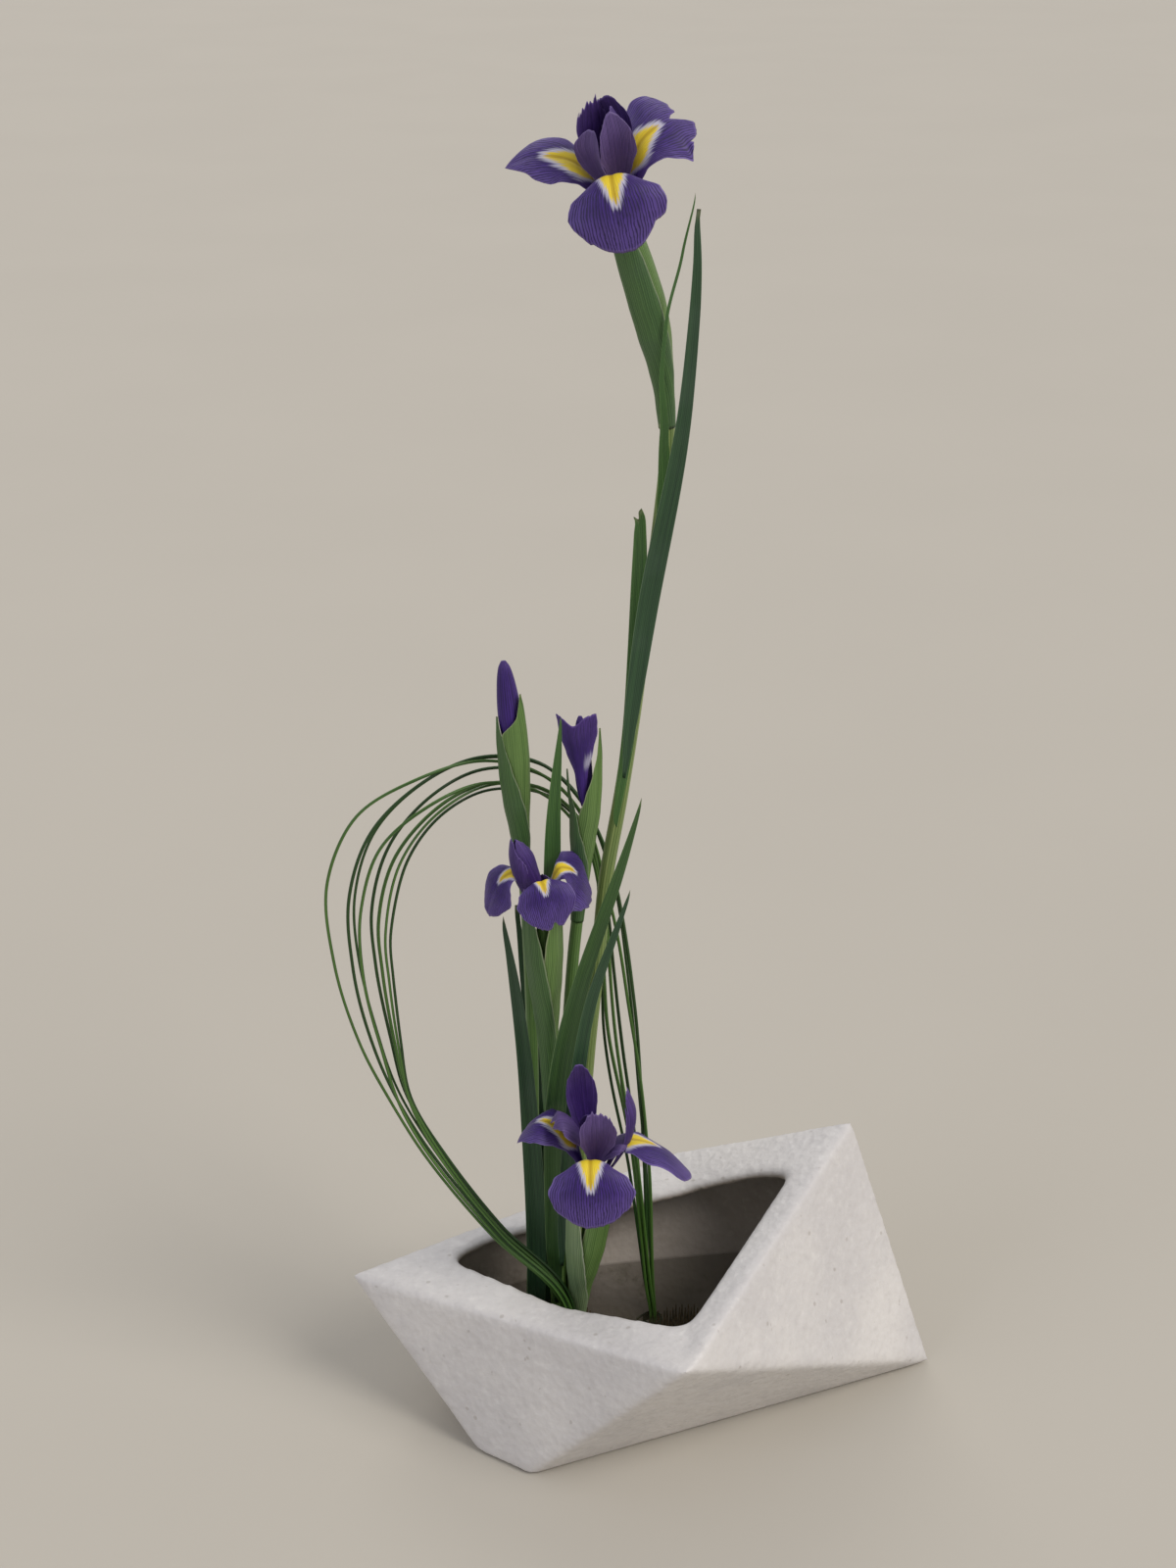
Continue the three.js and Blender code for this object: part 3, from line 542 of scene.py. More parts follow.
class IKEBANA_OT_vase(bpy.types.Operator):
    """Make the faceted stoneware vase with its rounded edges"""
    bl_idname = "ikebana.vase"
    bl_label = "Vase"

    def execute(self, context):
        size = settings("vase")
        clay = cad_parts["vase"].data.copy()
        skin = self.skin()
        body, model = (bpy.data.objects.new(name, clay) for name in ("clay", "model"))
        for copy in (body, model):
            context.scene.collection.objects.link(copy)
        remesh = body.modifiers.new("grain", "REMESH")
        remesh.mode = "VOXEL"
        remesh.voxel_size = size.voxel
        wrap = body.modifiers.new("wrap", "SHRINKWRAP")
        wrap.wrap_method = "NEAREST_SURFACEPOINT"
        wrap.target = model
        soften = body.modifiers.new("soften", "SMOOTH")
        soften.factor = 0.5
        soften.iterations = size.softening
        vertices, normals, faces = self.shaped(context, body)
        soften.show_viewport = False
        sharp = self.shaped(context, body)[0]
        points = [Vector(v) for v in vertices]
        wave = np.array([noise.noise(v * 22) + 0.12 * noise.noise(v * 70) for v in points])
        standing = smoothstep(0.001, 0.006, vertices[:, 2])
        vertices += normals * (wave * standing * size.unevenness)[:, None]
        vertices[:, 2] = np.maximum(vertices[:, 2], 0)
        depth = self.spread(np.array([skin.find_nearest(Vector(point))[3] for point in sharp]), faces)
        inside = smoothstep(0.2 * size.wall, 0.6 * size.wall, depth)
        lip = smoothstep(0.05 * size.wall, 0.3 * size.wall, depth) * (1 - inside)
        shape = vertices, faces, {"inside": inside, "lip": lip}
        make_piece("vase_body", shape, glaze_finish(), "glaze", "vase")
        for copy in (body, model):
            bpy.data.objects.remove(copy)
        return {"FINISHED"}

    @staticmethod
    def shaped(context, body):
        """The vertices, normals and faces of the clay as its modifiers leave it."""
        context.view_layer.update()
        made = bpy.data.meshes.new_from_object(body.evaluated_get(context.evaluated_depsgraph_get()))
        vertices = np.array([v.co for v in made.vertices])
        normals = np.array([v.normal for v in made.vertices])
        return vertices, normals, [tuple(p.vertices) for p in made.polygons]

    @staticmethod
    def spread(values, faces, passes=5):
        """Values at the corners of four-sided faces, evened out between neighbours."""
        faces = np.array(faces)
        share = np.bincount(faces.ravel(), minlength=len(values))
        for _ in range(passes):
            mean = np.repeat(values[faces].mean(1), 4)
            values = np.bincount(faces.ravel(), mean, len(values)) / share
        return values

    @staticmethod
    def skin():
        """The vase's outer faces and rim, which all end in an outer corner, to measure distances from."""
        vertices, triangles = node_mesh("vase")
        _, kept, merged = np.unique(
            np.round(vertices / MM, 2), axis=0, return_index=True, return_inverse=True,
        )
        vertices, triangles = vertices[kept], merged.ravel()[triangles]
        a, b, c = (vertices[triangles[:, k]] for k in range(3))
        normals = unit(np.cross(b - a, c - a))
        offsets = (normals * a).sum(1)
        around = np.random.default_rng(3).normal(size=(600, 3))
        corners = np.unique((around @ vertices.T).argmax(1))
        ends = np.where(np.isin(triangles, corners).any(1))[0]
        level = np.abs(normals @ normals[ends].T - 1) < 1e-4
        flush = np.abs(offsets[:, None] - offsets[ends]) < 0.2 * MM
        return BVHTree.FromPolygons(vertices.tolist(), triangles[(level & flush).any(1)].tolist())


WATER_SHEET = 0.8 * MM  # how thick the sheet of water is
WATER_EDGE = 0.6 * MM  # how far its edge runs into the clay


class IKEBANA_OT_water(bpy.types.Operator):
    """Fill the vase with a sheet of still water"""
    bl_idname = "ikebana.water"
    bl_label = "Water"

    def execute(self, context):
        size = settings("vase")
        cut = slice_at(node_mesh("vase"), size.water_level)[:, :2]
        centre = (cut.min(0) + cut.max(0)) / 2
        angles = np.linspace(0, 2 * math.pi, 96, endpoint=False)
        inner = self.reach_inside(centre, angles, size.water_level)
        rings = np.linspace(0.04, 1, 20)
        spokes = np.stack([np.cos(angles), np.sin(angles)], 1)
        rows = centre + spokes[None] * (rings[:, None] * inner)[..., None]
        vertices = []
        for height in (size.water_level, size.water_level - WATER_SHEET):
            vertices += [(x, y, height) for x, y in rows.reshape(-1, 2)]
        faces, number, beside = ring_faces(len(rings), len(angles))
        top, under = faces[:, [0, 3, 2, 1]], number.size
        rim = np.stack([number[-1], number[-1] + under, beside[-1] + under, beside[-1]], -1)
        faces = [*top.tolist(), *(top[:, ::-1] + under).tolist(), *rim.tolist()]
        faces += [number[0].tolist(), (number[0, ::-1] + under).tolist()]
        make_piece("water", (vertices, faces, {}), water_finish(), "glaze")
        return {"FINISHED"}

    @staticmethod
    def reach_inside(centre, angles, height):
        """How far the vase's inner wall is from a centre, in each direction."""
        vertices, triangles = node_mesh("vase")
        tree = BVHTree.FromPolygons(vertices.tolist(), triangles.tolist())
        start = Vector((*centre, height))
        reach = []
        for angle in angles:
            hit = tree.ray_cast(start, Vector((math.cos(angle), math.sin(angle), 0)))
            reach.append(hit[3] + WATER_EDGE)
        return np.array(reach)


# ---- Pin holders ----

PINNED_HEIGHT = 30 * MM  # stems and leaves whose feet are lower than this stand on the pins
PIN_CLEARANCE = 3.4 * MM  # from the middle of such a foot to the nearest pin
PIN_ROWS = 0.87  # the distance between rows of pins, as a share of the pitch


class IKEBANA_OT_pin_holders(bpy.types.Operator):
    """Make the two lead pin holders with their bronze pins"""
    bl_idname = "ikebana.pin_holders"
    bl_label = "Pin holders"

    def execute(self, context):
        size = settings("holder")
        lead = metal_finish("Lead", (0.05, 0.05, 0.05), (0.13, 0.125, 0.12), 0.7, 0.45, 160)
        bronze = metal_finish("Bronze pins", (0.05, 0.03, 0.015), (0.24, 0.15, 0.07), 0.9, 0.3, 420)
        feet = []
        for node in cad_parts:
            if node.endswith(("_stem", "_leaf")) or node.startswith("grass_blade"):
                vertices = node_mesh(node)[0]
                low = vertices[vertices[:, 2] < vertices[:, 2].min() + 1.0 * MM]
                if low[:, 2].min() < PINNED_HEIGHT:
                    feet.append(low[:, :2].mean(0))
        for side in ("left", "right"):
            low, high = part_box(f"kenzan_{side}")
            centre = np.array([(low.x + high.x) / 2, (low.y + high.y) / 2])
            radius = (high.x - low.x) / 2
            self.base(f"kenzan_{side}_base", centre, low.z, radius, size, lead)
            self.pins(f"kenzan_{side}_pins", centre, (low.z, high.z), radius, size, bronze, side, feet)
        return {"FINISHED"}

    @staticmethod
    def base(name, centre, floor, radius, size, finish):
        bevel = 0.8 * MM
        outline = [
            (0, 0), (radius - bevel, 0), (radius, bevel), (radius, size.base - bevel),
            (radius - bevel, size.base), (0, size.base),
        ]
        sides = 72
        angle = np.linspace(0, 2 * math.pi, sides, endpoint=False)
        vertices = [(*centre, floor), (*centre, floor + size.base)]
        for out, up in outline[1:-1]:
            x, y = centre[0] + out * np.cos(angle), centre[1] + out * np.sin(angle)
            vertices += [(*place, floor + up) for place in zip(x, y)]
        faces = []
        for k in range(sides):
            n = (k + 1) % sides
            for ring in range(3):
                start = 2 + ring * sides
                faces.append([start + k, start + n, start + sides + n, start + sides + k])
            faces.append([2 + n, 2 + k, 0])
            faces.append([2 + 3 * sides + k, 2 + 3 * sides + n, 1])
        make_piece(name, (vertices, faces, {}), finish, "lead", smooth=False)

    @staticmethod
    def pins(name, centre, heights, radius, size, finish, side, feet):
        shapes = []
        rows = int(radius / size.pitch)
        root, tip = heights[0] + size.base - 0.5 * MM, heights[1] + size.rise
        for row in range(-rows, rows + 1):
            for column in range(-rows, rows + 1):
                at = centre + np.array([(column + row % 2 / 2) * size.pitch, row * size.pitch * PIN_ROWS])
                covered = any(np.linalg.norm(at - foot) < PIN_CLEARANCE for foot in feet)
                if np.linalg.norm(at - centre) > radius - 2.2 * size.pin or covered:
                    continue
                lean = Vector([noise.noise(Vector((*at, k)) * 900) for k in (1, 2)]) * 0.3 * MM
                levels = np.array([root, root + 0.72 * (tip - root), tip - 0.2 * MM])
                line = [(at[0] + lean.x * t, at[1] + lean.y * t, z) for t, z in zip((0, 0.7, 1), levels)]
                shapes.append(tube(line, [size.pin, size.pin * 0.85, size.pin * 0.3], sides=8))
        make_piece(name, (*joined(shapes)[:2], {}), finish, "lead", f"kenzan_{side}")


# ---- Stems and leaves ----

GREENS = {  # the dark, light and edge colours and, where they differ, the bloom, the ribs and the gloss
    "Stem green": [(0.05, 0.115, 0.028), (0.11, 0.2, 0.05), (0.2, 0.3, 0.1), 0.1, 1.1, 0.4],
    "Tall stem": [(0.075, 0.135, 0.03), (0.21, 0.27, 0.085), (0.24, 0.3, 0.12), 0.05, 1.3, 0.4],
    "Leaf green": [(0.016, 0.044, 0.022), (0.034, 0.082, 0.034), (0.15, 0.22, 0.13)],
    "Full green": [(0.024, 0.064, 0.018), (0.052, 0.115, 0.03), (0.16, 0.24, 0.1), 0.15],
    "Leaf in shade": [(0.008, 0.026, 0.010), (0.016, 0.052, 0.018), (0.06, 0.11, 0.04)],
    "Young leaf": [(0.03, 0.085, 0.02), (0.065, 0.15, 0.035), (0.2, 0.3, 0.12), 0.12],
    "Sheath green": [(0.03, 0.075, 0.022), (0.065, 0.135, 0.04), (0.26, 0.31, 0.19), 0.2, 0.9],
    "Inner sheath": [(0.06, 0.125, 0.028), (0.13, 0.22, 0.06), (0.32, 0.36, 0.2), 0.05, 0.9],
    "Papery sheath": [(0.10, 0.16, 0.07), (0.19, 0.26, 0.13), (0.42, 0.46, 0.34), 0.1, 0.9],
    "Grass": [(0.022, 0.066, 0.012), (0.07, 0.15, 0.026), (0.12, 0.22, 0.05), 0.0, 1.2, 0.38],
    "Grass in shade": [(0.010, 0.030, 0.008), (0.026, 0.07, 0.014), (0.06, 0.12, 0.03), 0.0, 1.2, 0.38],
    "Grass tie": [(0.01, 0.025, 0.012), (0.02, 0.05, 0.02), (0.05, 0.08, 0.03), 0.0, 0.8, 0.5],
}


def greens(*names):
    """The named green finishes."""
    return {name: leaf_finish(name, *GREENS[name]) for name in names}


STEMS = ["tall", "middle", "low", "left_bud", "half_bud"]
LEAVES = {  # each leaf's green, how far its middle stays folded and, where they differ, its widths and end
    "tall_long_leaf": dict(shade="Leaf green", fold=1.0, blunt=0.9),
    "middle_leaf": dict(shade="Young leaf", fold=0.9),
    "left_broad_leaf": dict(shade="Leaf green", fold=0.8),
    "dark_leaf": dict(shade="Leaf in shade", fold=0.7, blunt=1.2),
    "upper_crossing_leaf": dict(shade="Full green", fold=0.9),
    "lower_crossing_leaf": dict(shade="Leaf green", fold=0.9),
    "tall_cut_leaf": dict(shade="Young leaf", fold=0.6, cut=4.5),
    "tall_sheath_leaf": dict(
        shade="Young leaf", fold=0.8, widths=[0.9, 0.85, 0.6, 0.42, 0.4, 0.45, 0.5],
        bow=[0, 0, -3, -6.5, -6.5, -3, 0],
    ),
}


class IKEBANA_OT_stems(bpy.types.Operator):
    """Make the five stems"""
    bl_idname = "ikebana.stems"
    bl_label = "Stems"

    def execute(self, context):
        size = settings("plant")
        finishes = greens("Stem green", "Tall stem")
        for k, name in enumerate(STEMS):
            radius = size.bud_stem if "bud" in name else size.stem
            line = stem_line(f"{name}_stem", 90)
            t = np.linspace(0, 1, len(line))
            radii = radius * (0.97 - 0.06 * t + 0.03 * wander(t * 6, k))
            shape = tube(line, radii, sides=28, ridges=0.02, seed=k)
            finish = finishes["Tall stem" if name == "tall" else "Stem green"]
            make_piece(f"{name}_stem_body", shape, finish, "stem", f"{name}_stem")
        return {"FINISHED"}


class IKEBANA_OT_leaves(bpy.types.Operator):
    """Make the leaves from the frame's own leaves"""
    bl_idname = "ikebana.leaves"
    bl_label = "Leaves"

    def execute(self, context):
        size = settings("plant")
        finishes = greens("Leaf green", "Full green", "Leaf in shade", "Young leaf")
        for k, (node, look) in enumerate(LEAVES.items()):
            look = dict(look)
            finish = finishes[look.pop("shade")]
            shape = self.blade(*leaf_lines(node), size.leaf, seed=k, **look)
            slot = "sheath" if node in ("tall_cut_leaf", "tall_sheath_leaf") else "leaf"
            make_piece(f"{node}_blade", shape, finish, slot, node)
        return {"FINISHED"}

    @staticmethod
    def blade(left, middle, right, thickness, fold, seed, widths=(1, 1), bow=(0, 0), blunt=0.0,
              cut=0.0, columns=37):
        """A leaf between three lines: a folded blade with a rounded keel and soft waves along its edges.
        widths narrows it and bow moves it to the right, foot to tip; blunt is half the width of its tip and
        cut how deep its slanted end is cut, all three in millimetres."""
        count = len(left)
        t = np.linspace(0, 1, count)[:, None]
        s = np.linspace(-1, 1, columns)[None]
        side = np.sin(s * math.pi / 2 * 0.98) / math.sin(math.pi / 2 * 0.98)
        chord = (left + right) / 2 + profile(bow, t) * np.array([MM, 0, 0])
        half = (right - left) / 2 * profile(widths, t)
        rise = (middle - (left + right) / 2) * fold * profile(widths, t)
        if cut:
            whole = half[int(0.8 * count)]
            half = np.where(t > 0.8, whole * (1 - 0.25 * smoothstep(0.8, 1, t)), half)
        wide = np.linalg.norm(half, axis=1)[:, None]
        heading = unit(half)
        heading[-1] = heading[-2]
        half = heading * np.maximum(wide, blunt * MM * smoothstep(0, 0.3, t))
        waves = wander(t * 5 + 3, seed + 20) * 0.35 * MM * smoothstep(0, 0.2, t) * smoothstep(1, 0.8, t)
        across = unit(half)
        along = unit(np.gradient(chord, axis=0))
        facing = unit(np.cross(across, along))
        grid = (
            chord[:, None] + half[:, None] * side[..., None]
            + rise[:, None] * (1 - np.abs(side) ** 1.6)[..., None]
            + facing[:, None] * (waves * side**3)[..., None]
        )
        dip = smoothstep(0.85, 1, t) * (0.4 + 0.6 * np.exp(-(((side + 0.35) / 0.4) ** 2)) - 0.35 * side)
        grid -= along[:, None] * (cut * MM * dip)[..., None]
        width = np.linalg.norm(half, axis=1)[:, None]
        lay = np.minimum(1, (1 - np.abs(side)) * width / (1.4 * MM)) ** 0.6
        taper = np.minimum(1, width / (2.5 * MM))
        values = sheet_values(t, side, width, np.linalg.norm(np.diff(chord, axis=0), axis=1).sum())
        directions = np.broadcast_to(facing[:, None], grid.shape)
        return thin_sheet(grid, directions, thickness * (0.12 + 0.88 * lay) * taper, values)


# ---- Sheaths ----

def sheath_shape(path, radii, wraps, opens, thickness, keel=0.1, seed=0, rows=64, columns=41):
    """A sheath that wraps round a path and is open along one side, keeled opposite its opening."""
    line = smooth_path(path, rows)
    t = np.linspace(0, 1, rows)[:, None]
    side = np.sin(np.linspace(-1, 1, columns)[None] * math.pi / 2)
    along = unit(np.gradient(line, axis=0))
    x = unit(np.array([1.0, 0, 0]) - along * along[:, :1])
    y = np.cross(along, x)
    wrap = np.radians(profile(wraps, t))
    angle = math.radians(opens + 180) + side * wrap
    up = x[:, None] * np.cos(angle)[..., None] + y[:, None] * np.sin(angle)[..., None]
    crest = keel * np.exp(-((side / 0.16) ** 2)) * smoothstep(0.1, 0.5, t)
    flare = 0.35 * MM * wander(t * 4, seed + 40) * np.abs(side) ** 4
    radius = profile(radii, t) * (1 + crest) + flare
    grid = line[:, None] + up * radius[..., None]
    half = radius * wrap
    lay = np.minimum(1, (1 - np.abs(side)) * half / (1.6 * MM)) ** 0.7
    ends = np.minimum(1, np.minimum(t * 12, (1 - t) * 10))
    length = np.linalg.norm(np.diff(line, axis=0), axis=1).sum()
    values = sheet_values(t, side, half, length)
    return thin_sheet(grid, up, thickness * (0.15 + 0.85 * lay * ends), values)


def along_stem(stem, low, high, lean, bend):
    """The middle line of a sheath between two heights: along its stem, on along the bud that leans on top
    of it, and bent aside towards the tip."""
    line = stem_line(stem, 90)
    top = line[-1]
    path = line[(line[:, 2] > low) & (line[:, 2] < high - 1 * MM)][::4]
    if high > top[2]:
        rise = (high - top[2]) * np.array([[0.5], [1.0]])
        path = np.vstack([path[path[:, 2] < top[2] - 2 * MM], top, top + rise * np.array([*lean, 1])])
    share = (path[:, 2] - low) / (high - low)
    return path + np.outer(share**2, [*bend, 0]) * MM


SHEATHS = {  # which way each sheath's back faces, its radii in mm and how far round it goes, foot to tip
    "tall_spathe_inner": dict(
        stem="tall_stem", shade="Inner sheath", faces=20,
        radii=[3.62, 3.9, 5.0, 6.4, 7.0, 6.8, 6.2, 5.6],
        wraps=[172, 165, 150, 140, 130, 122, 112, 105, 90, 8], lean=(-0.22, -0.05), reach=1.15,
    ),
    "tall_spathe_outer": dict(
        stem="tall_stem", shade="Sheath green", faces=200,
        radii=[3.75, 4.2, 5.6, 7.2, 7.8, 7.5, 6.9, 6.2],
        wraps=[172, 165, 150, 135, 122, 114, 108, 104, 90, 8], lean=(-0.22, -0.05), reach=1.15,
    ),
    "middle_spathe_inner": dict(
        stem="middle_stem", shade="Inner sheath", faces=15,
        radii=[3.62, 3.7, 3.9, 4.4, 5.6, 7.0, 8.0, 8.2, 7.4],
        wraps=[172, 172, 170, 158, 145, 132, 122, 112, 100, 84, 8], lean=(-0.15, -0.1), reach=1.16,
        foot=-44,
    ),
    "middle_spathe_outer": dict(
        stem="middle_stem", shade="Sheath green", faces=195,
        radii=[3.75, 3.9, 4.3, 5.0, 6.2, 7.7, 8.8, 9.0, 8.2],
        wraps=[172, 172, 165, 145, 122, 104, 92, 80, 70, 56, 8], lean=(-0.15, -0.1), reach=1.16,
        foot=-44,
    ),
    "low_spathe_inner": dict(
        stem="low_stem", shade="Inner sheath", faces=-20,
        radii=[3.65, 4.8, 6.6, 7.6, 7.8, 7.4, 6.6], bend=(3, 0),
        wraps=[172, 150, 130, 116, 106, 98, 88, 70, 8], lean=(0, -0.15), reach=1.14, foot=-12,
    ),
    "low_spathe_outer": dict(
        stem="low_stem", shade="Papery sheath", faces=185,
        radii=[3.8, 5.4, 7.4, 8.6, 8.8, 8.4, 7.4], bend=(-4, 0),
        wraps=[172, 135, 106, 92, 80, 70, 62, 50, 6], lean=(0, -0.15), reach=1.12, foot=-12,
    ),
    "left_bud_spathe_outer": dict(
        stem="left_bud_stem", shade="Inner sheath", faces=-25,
        radii=[3.05, 3.2, 4.2, 5.6, 6.4, 6.7, 6.2],
        lean=(-0.09, 0), wraps=[172, 172, 168, 164, 162, 160, 156, 148, 112, 34, 6], foot=-25,
    ),
    "left_bud_spathe_inner": dict(
        stem="left_bud_stem", shade="Sheath green", faces=195,
        radii=[3.2, 3.5, 4.9, 6.4, 7.2, 7.1, 6.3],
        lean=(-0.08, 0), wraps=[172, 165, 145, 116, 90, 64, 40, 6], reach=0.88, foot=-25,
    ),
    "half_bud_spathe_outer": dict(
        stem="half_bud_stem", shade="Inner sheath", faces=-15,
        radii=[3.05, 3.1, 3.6, 4.8, 6.1, 6.6, 6.4, 5.6],
        lean=(0.02, 0), wraps=[172, 172, 170, 160, 140, 112, 80, 50, 26, 5], foot=-30,
    ),
    "half_bud_spathe_inner": dict(
        stem="half_bud_stem", shade="Sheath green", faces=190,
        radii=[3.2, 3.3, 4.0, 5.4, 6.4, 6.8, 6.8, 6.4],
        lean=(-0.10, 0), wraps=[172, 168, 145, 112, 82, 54, 32, 16, 5], reach=0.72, foot=-30,
    ),
}


class IKEBANA_OT_sheaths(bpy.types.Operator):
    """Wrap the papery green sheaths round the flower and bud stems"""
    bl_idname = "ikebana.sheaths"
    bl_label = "Sheaths"

    def execute(self, context):
        thickness = settings("plant").sheath
        finishes = greens("Sheath green", "Inner sheath", "Papery sheath")
        for k, (node, look) in enumerate(SHEATHS.items()):
            low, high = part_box(node)
            top = low.z + (high.z - low.z) * look.get("reach", 1.0)
            foot = low.z + (look.get("foot", 0) + 0.4) * MM
            path = along_stem(look["stem"], foot, top, look.get("lean", (0, 0)), look.get("bend", (0, 0)))
            radii = [out * MM for out in look["radii"]]
            shape = sheath_shape(path, radii, look["wraps"], look["faces"] + 180, thickness, seed=k)
            make_piece(f"{node}_leaf", shape, finishes[look["shade"]], "sheath", node)
        return {"FINISHED"}


# ---- Flowers ----

# Outlines in a petal's own plane, in millimetres out from the flower's axis and up from its foot.
LEVEL_FALL = [[3.4, 0], [6, 12], [10, 23], [16, 30], [24, 33], [33, 34], [43, 31]]
POINTED_FALL = [[3.4, 0], [6, 12], [10, 23], [16, 30], [24, 33], [34, 34], [47, 30]]
DROOPING_FALL = [[3.4, 0], [6, 12], [10, 23], [16, 29], [25, 27], [34, 20], [42, 8]]
RAISED_FALL = [[3.4, 0], [6, 14], [10, 28], [15, 36], [21, 34], [28, 23], [33, 8.5]]
HANGING_FALL = [[3.4, 0], [6, 12], [10, 23], [15, 29], [21, 27], [28, 17], [33, 2]]
CURLED_FALL = [[3.4, 0], [6, 12], [10, 24], [16, 32], [25, 35], [32, 29], [36, 18]]
STANDARD = [[3.4, 3], [9, 16], [13.5, 30], [14, 44], [10, 55]]
CLOSED_STANDARD = [[3.4, 3], [8, 15], [10.5, 28], [8.5, 42], [2, 54]]
UPRIGHT_ARM = [[0.8, 5], [2.5, 14], [5.5, 25], [9, 35], [11, 45], [9.5, 54]]
SHORT_ARM = [[0.8, 5], [2.5, 14], [6, 23], [11, 31], [13.5, 38], [12, 44]]
CURLED_ARM = [[0.8, 5], [3.5, 14], [8, 23], [13.5, 29], [19, 31], [23, 28]]
FALL_WIDTHS = [3, 6, 8, 9, 18, 37, 43, 42, 37]
BROAD_WIDTHS = [3, 7, 11, 17, 27, 38, 42, 41, 36]
STANDARD_WIDTHS = [2, 4, 8, 13, 16.5, 17, 14]
STYLE_WIDTHS = [1.5, 4, 7, 11, 15.5, 16.5, 12.5]

FLOWERS = {  # each petal's turn round the axis, its outline and, where they differ, its lean and its looks
    "tall": {
        "lean": (-0.22, -0.25), "size": 1,
        "falls": {
            "front": dict(turn=-90, line=HANGING_FALL, ruffle=0.07, waves=2.6, phase=0.6, tip=0.36,
                          wide=1.06, bites=[(0.66, 0.13, 0.06)]),
            "back": dict(turn=34, line=LEVEL_FALL, widths=BROAD_WIDTHS, roll=25, ruffle=0.11, waves=3.1,
                         phase=2.2, mark=1.2, ragged=0.02,
                         bites=[(0.0, 0.13, 0.16), (0.3, 0.2, 0.09), (-0.72, 0.03, 0.06)]),
            "left": dict(turn=164, line=POINTED_FALL, widths=BROAD_WIDTHS, roll=-20, ruffle=0.02, waves=1.7,
                         mark=1.2, tip=0.56, point=1.18, ragged=0.008),
        },
        "standards": {
            "right": dict(turn=-14, out=0.5, rise=0.95, tip=0.34, ragged=0.02),
            "back": dict(turn=60, out=0.8, rise=0.98, tip=0.24, point=2.3, ragged=0.015),
            "left": dict(turn=138, out=0.68, rise=0.96, wide=1.12, ragged=0.07, tip=0.1),
        },
        "arms": [
            dict(turn=-74, line=UPRIGHT_ARM, lean=(-0.19, -0.25), out=1.15, wide=1.12, tip=0.4, point=1.75,
                 ragged=0.01, notch=0),
            dict(turn=70, line=UPRIGHT_ARM, out=0.8, rise=0.8),
            dict(turn=222, line=UPRIGHT_ARM, lean=(-0.13, -0.25), rise=0.86, out=1.15, wide=1.1,
                 ragged=0.01, notch=0.02, tip=0.36),
        ],
    },
    "middle": {
        "lean": (-0.18, -0.22), "size": 0.66,
        "falls": {
            "front": dict(turn=-74, line=RAISED_FALL, lean=(-0.12, -0.22), rise=1.12, ruffle=0.1, waves=2.2,
                          phase=1.1, bites=[(0.1, 0.10, 0.07)]),
            "back": dict(turn=16, line=HANGING_FALL, lean=(-0.12, -0.2), roll=20, ruffle=0.12, waves=2.4,
                         out=1.12, rise=1.2, wide=1.35),
            "left": dict(turn=182, line=HANGING_FALL, lean=(-0.04, -0.2), out=1.2, rise=1.28, roll=-25,
                         ruffle=0.06, waves=1.8, wide=0.85),
        },
        "standards": {
            where: dict(line=CLOSED_STANDARD, lean=(-0.3, -0.2), cup=0.8, tip=0.55, point=1.5, **look)
            for where, look in {
                "right": dict(turn=-46, out=0.85, rise=1.24, wide=1.6),
                "back": dict(turn=76, out=0.8, rise=1.22, wide=1.5),
                "left": dict(turn=204, out=0.92, rise=1.28, wide=1.7),
            }.items()
        },
        "arms": [dict(turn=turn, line=SHORT_ARM, out=0.5, rise=0.72) for turn in (-70, 50, 182)],
    },
    "low": {
        "lean": (-0.05, -0.25), "size": 1,
        "falls": {
            "front": dict(turn=-92, line=HANGING_FALL, lean=(-0.05, -0.21), ruffle=0.04, waves=2.3,
                          phase=2.0),
            "right": dict(turn=-2, line=DROOPING_FALL, roll=-30, out=1.08, ruffle=0.07, waves=2.0),
            "left": dict(turn=164, line=CURLED_FALL, widths=BROAD_WIDTHS, lean=(0.0, -0.25), roll=10,
                         out=1.04, ruffle=0.06, waves=2.0, tip=0.42, point=1.6, wide=0.75),
        },
        "standards": {
            "right": dict(turn=-14, lean=(0.06, -0.2), out=1.2, rise=1.14, wide=0.72, cup=0.6, ruffle=0.03,
                          ragged=0.07),
            "back": dict(turn=100, lean=(-0.09, -0.2), out=0.9, rise=1.24, tip=0.4, point=1.7),
            "left": dict(turn=70, lean=(-0.1, -0.2), out=0.5, rise=0.72, wide=0.8),
        },
        "arms": [
            dict(turn=-86, line=UPRIGHT_ARM, lean=(0.02, -0.2), rise=1.0, wide=1.15, ragged=0.06,
                 notch=0.04, tip=0.16),
            dict(turn=-14, line=CURLED_ARM, lean=(-0.02, -0.2), out=0.8, wide=1.1),
            dict(turn=192, line=CURLED_ARM, wide=1.3, lean=(0.05, -0.18), rise=1.4),
        ],
    },
}


PATH_STEPS = 240  # points along a petal's middle line
UNMARKED = -3.0  # the signal value where a petal has no yellow mark


